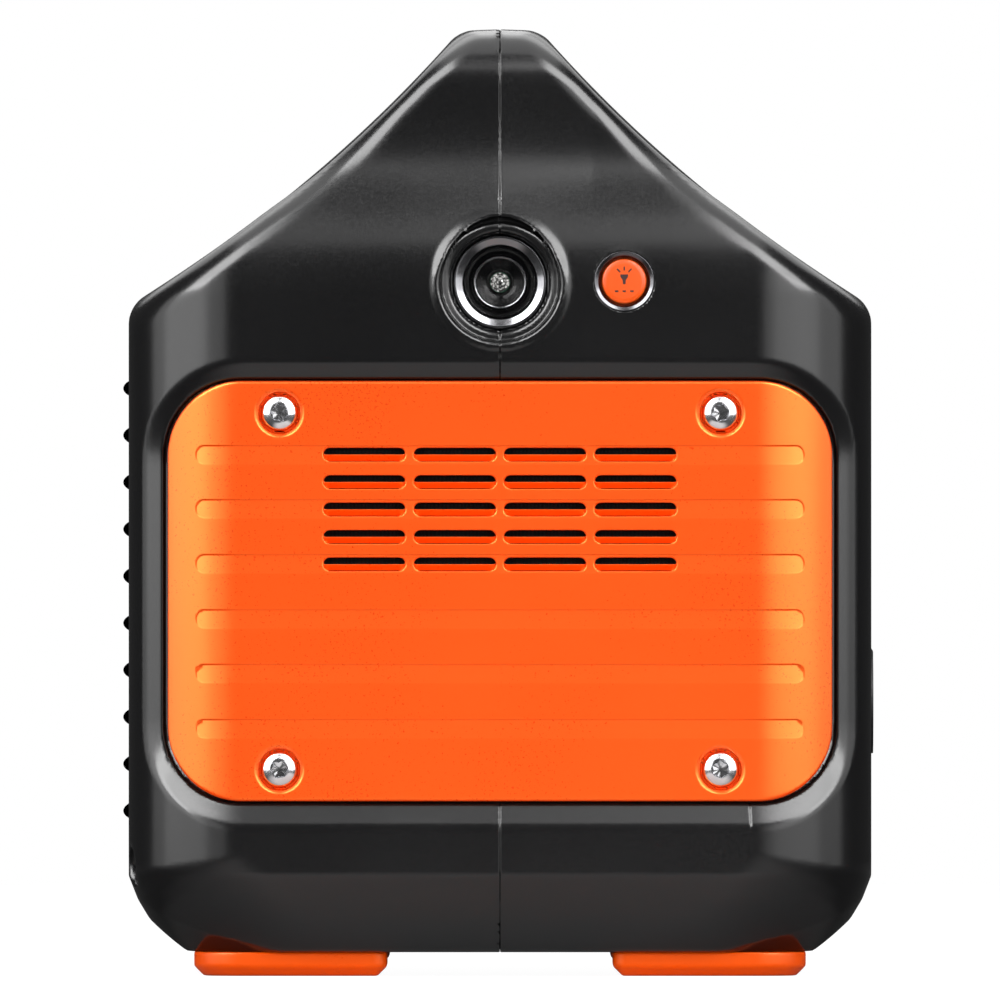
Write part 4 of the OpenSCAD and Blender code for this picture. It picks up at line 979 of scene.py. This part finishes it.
MAT["cloth"] = cloth_material()
for e, name, node in ((-1, "vent_filter_lamp", "dust_mesh_lamp_end"), (1, "vent_filter_far", "dust_mesh_far_end")):
    nx, nz = 60, 24
    V, F = [], []
    for side in (0, 1):
        for i in range(nx + 1):
            for k in range(nz + 1):
                xx, zz = -46.7 + 93.4 * i / nx, 101.5 + 35.4 * k / nz
                edge = min(xx + 46.7, 46.7 - xx, zz - 101.5, 136.9 - zz)
                th = 0.3 if edge < 1.6 else 0.12
                dip = 0.0 if edge < 1.6 else 0.08 * math.sin(i * 1.3) * math.sin(k * 1.7)
                V.append((xx, e * (HL - 4.1) + (th + dip) * (-1 if side == 0 else 1), zz))
    m = (nx + 1) * (nz + 1)
    for i in range(nx):
        for k in range(nz):
            a = i * (nz + 1) + k
            F.append((a, a + nz + 1, a + nz + 2, a + 1))
            F.append((m + a, m + a + 1, m + a + nz + 2, m + a + nz + 1))
    border = [i * (nz + 1) for i in range(nx + 1)] + [nx * (nz + 1) + k for k in range(1, nz + 1)] \
        + [i * (nz + 1) + nz for i in range(nx - 1, -1, -1)] + [k for k in range(nz - 1, 0, -1)]
    for a, b in zip(border, border[1:] + border[:1]):
        F.append((a, b, m + b, m + a))
    piece(name, (V, F), "casing", MAT["cloth"], (node,))

# ------------------------------------------------------------------ finishes of the CAD nodes that stay
NODE_MAT = {
    "end_plate_lamp_end": "orange", "end_plate_far_end": "orange", "plate_screws_lamp_end": "chrome",
    "plate_screws_far_end": "chrome", "case_screws": "steel", "feet": "feet", "foot_screws": "steel",
    "lamp_bezel": "ring", "lamp_button_ring": "trim", "lamp_lens": "lens", "lamp_reflector": "reflector", "lamp_led": "led", "lamp_board": "board",
    "lamp_heatsink": "alloy", "lamp_button": "button", "lamp_switch": "black", "control_panel": "panel",
    "panel_screws": "steel", "display_window": "window", "display_module": "black", "ac_button": "button",
    "dc_button": "button", "usb_button": "button", "display_button": "button", "panel_switches": "black",
    "control_board": "board", "ac_outlet_body": "outlet", "ac_contacts": "brass", "car_socket_shell": "steel",
    "car_socket_insulator": "black", "car_socket_contact": "brass", "car_socket_cover": "cover",
    "cover_hinge_pin": "steel", "dc_output_sockets": "outlet", "dc_output_pins": "brass", "dc_input_socket": "outlet",
    "dc_input_pin": "brass", "usb_shells": "steel", "usb_tongues": "usb", "battery_cells": "cells",
    "cell_holder_outer": "black", "cell_holder_inner": "black", "cell_links": "steel", "battery_cradle": "alloy",
    "battery_board": "board", "inverter_board": "board", "transformer_core": "ferrite", "transformer_winding": "copper",
    "capacitors": "sleeve", "inverter_heatsink": "alloy", "choke_coil": "copper", "fan_frame": "black",
    "fan_rotor": "black", "fan_screws": "steel", "dust_mesh_lamp_end": "mesh", "dust_mesh_far_end": "mesh",
    "battery_leads": "lead",
}
for node, key in NODE_MAT.items():
    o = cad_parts.get(node)
    if o is None:
        continue
    for s in o.material_slots:
        s.material = MAT[key]

# ------------------------------------------------------------------ floor, lights, camera
def floor_material():
    """Pale paper: grey for what it reflects and lights, white as seen, with a faint contact shadow."""
    m, t, b = nodes_of("studio_floor")
    v = coords(t)
    n = noise(t, v, 3.0, 4.0)
    shift = t.nodes.new("ShaderNodeVectorMath")
    shift.operation = "MULTIPLY_ADD"
    link(t, v, shift.inputs[0])
    shift.inputs[1].default_value = (9.0, 5.6, 1.0)
    shift.inputs[2].default_value = (0.0, 1.51, 0.0)
    far = t.nodes.new("ShaderNodeVectorMath")
    far.operation = "LENGTH"
    link(t, shift.outputs[0], far.inputs[0])
    far = far.outputs["Value"]
    near = mix_rgb(t, n, (0.62, 0.62, 0.62), (0.68, 0.68, 0.68))
    link(t, mix_rgb(t, remap(t, far, 0.75, 1.3, 0.0, 1.0), near, (0.03, 0.03, 0.03)), b.inputs["Base Color"])
    link(t, remap(t, n, 0.3, 0.7, 0.75, 0.85), b.inputs["Roughness"])
    b.inputs["Specular IOR Level"].default_value = 0.1
    path = t.nodes.new("ShaderNodeLightPath")
    b.inputs["Emission Color"].default_value = (1, 1, 1, 1)
    glow = remap(t, far, 0.5, 2.0, 0.96, 1.0)
    link(t, add(t, path.outputs["Is Camera Ray"], glow, "MULTIPLY"), b.inputs["Emission Strength"])
    return m


fl = bpy.data.meshes.new("floor")
rings, around = 24, 96
FVerts = [(0.0, 0.0, 0.0)] + [(2.4 * i / rings * math.cos(2 * math.pi * j / around), 2.4 * i / rings * math.sin(2 * math.pi * j / around), 0.0)
                              for i in range(1, rings + 1) for j in range(around)]
FFaces = [(0, 1 + j, 1 + (j + 1) % around) for j in range(around)]
FFaces += [(1 + (i - 1) * around + j, 1 + i * around + j, 1 + i * around + (j + 1) % around, 1 + (i - 1) * around + (j + 1) % around)
           for i in range(1, rings) for j in range(around)]
fl.from_pydata(FVerts, [], FFaces)
fl.update()
floor = bpy.data.objects.new("floor", fl)
fl.materials.append(floor_material())
scene.collection.objects.link(floor)
floor.location = (0, 0, -0.0002)

world = bpy.data.worlds.new("studio") if scene.world is None else scene.world
scene.world = world
world.use_nodes = True
wt = world.node_tree
wt.nodes.clear()
wo = wt.nodes.new("ShaderNodeOutputWorld")
bg = wt.nodes.new("ShaderNodeBackground")
bg.inputs["Color"].default_value = (1, 1, 1, 1)
bg.inputs["Strength"].default_value = 0.04
bg2 = wt.nodes.new("ShaderNodeBackground")
bg2.inputs["Color"].default_value = (1, 1, 1, 1)
bg2.inputs["Strength"].default_value = 1.0
lp = wt.nodes.new("ShaderNodeLightPath")
mx = wt.nodes.new("ShaderNodeMixShader")
link(wt, lp.outputs["Is Camera Ray"], mx.inputs[0])
link(wt, bg.outputs[0], mx.inputs[1])
link(wt, bg2.outputs[0], mx.inputs[2])
link(wt, mx.outputs[0], wo.inputs[0])


def area(name, loc, target, size, power, colour=(1, 1, 1)):
    l = bpy.data.lights.new(name, "AREA")
    l.shape = "RECTANGLE"
    l.size, l.size_y = size
    l.energy = power
    l.color = colour
    o = bpy.data.objects.new(name, l)
    scene.collection.objects.link(o)
    o.location = loc
    o.rotation_mode = "QUATERNION"
    o.rotation_quaternion = (Vector(target) - Vector(loc)).to_track_quat("-Z", "Y")
    o.visible_camera = False
    return o


def panel(name, az, el, dist, size, radiance, centre=(0.0, -0.12, 0.12)):
    """A soft box: az to the right of the lamp end's axis, el up, in degrees; radiance of its face."""
    a, e = math.radians(az), math.radians(el)
    loc = (centre[0] + dist * math.cos(e) * math.sin(a), centre[1] - dist * math.cos(e) * math.cos(a), centre[2] + dist * math.sin(e))
    return area(name, loc, centre, size, radiance * math.pi * size[0] * size[1])


def softbox(name, off, polar, dist, size, radiance, centre=(0.0, -0.12, 0.12), glossy=True, diffuse=True):
    """off: degrees off the lamp end's axis; polar: direction around it, 0 right and 90 up. size: (around, outwards) in degrees."""
    o, p = math.radians(off), math.radians(polar)
    d = Vector((math.sin(o) * math.cos(p), -math.cos(o), math.sin(o) * math.sin(p)))
    tangent = Vector((-math.sin(p), 0, math.cos(p)))
    w, h = (2 * dist * math.tan(math.radians(v) / 2) for v in size)
    light = area(name, Vector(centre) + d * dist, centre, (w, h), radiance * 4 * w * h)
    z = d
    y = z.cross(tangent)
    light.rotation_quaternion = Matrix((tangent, y, z)).transposed().to_quaternion()
    light.visible_glossy = glossy
    light.visible_diffuse = diffuse
    return light


softbox("upper_left", 62, 135, 1.6, (49, 34), 8.5, diffuse=False)
softbox("upper_right", 58, 46, 1.6, (50, 34), 7.5, diffuse=False)
softbox("left", 63, 186, 1.45, (66, 46), 1.4)
softbox("left_wide", 62, 186, 1.6, (66, 82), 1.3)
softbox("right", 44, -6, 1.5, (66, 46), 0.95)
softbox("right_wide", 53, -6, 1.6, (66, 84), 1.3)
softbox("front_top_left", 53, 115, 1.5, (34, 32), 0.7)
softbox("front_top_right", 53, 65, 1.5, (34, 32), 1.4)
softbox("overhead", 100, 90, 1.4, (62, 66), 1.4, centre=(0.0, 0.0, 0.12))
softbox("front_fill", 8, 90, 2.6, (40, 30), 1.2, glossy=False)
softbox("left_side", 92, 175, 1.6, (50, 40), 0.5, glossy=False)
softbox("right_side", 92, 5, 1.6, (50, 40), 0.5, glossy=False)
softbox("back_left", 135, 112, 1.8, (40, 40), 1.2)
softbox("back_right", 135, 68, 1.8, (40, 40), 1.2)

cam_data = bpy.data.cameras.new("camera")
cam = bpy.data.objects.new("camera", cam_data)
scene.collection.objects.link(cam)
scene.camera = cam
cam_data.type = "PERSP"
cam_data.sensor_width = 36.0
cam_data.lens = 1500.0
cam_data.clip_start, cam_data.clip_end = 0.05, 60.0
WIDTH = 0.2555
dist = WIDTH * cam_data.lens / 36.0
cam.location = (0.0, -0.135 - dist, 0.1216)
cam.rotation_euler = (math.pi / 2, 0, 0)
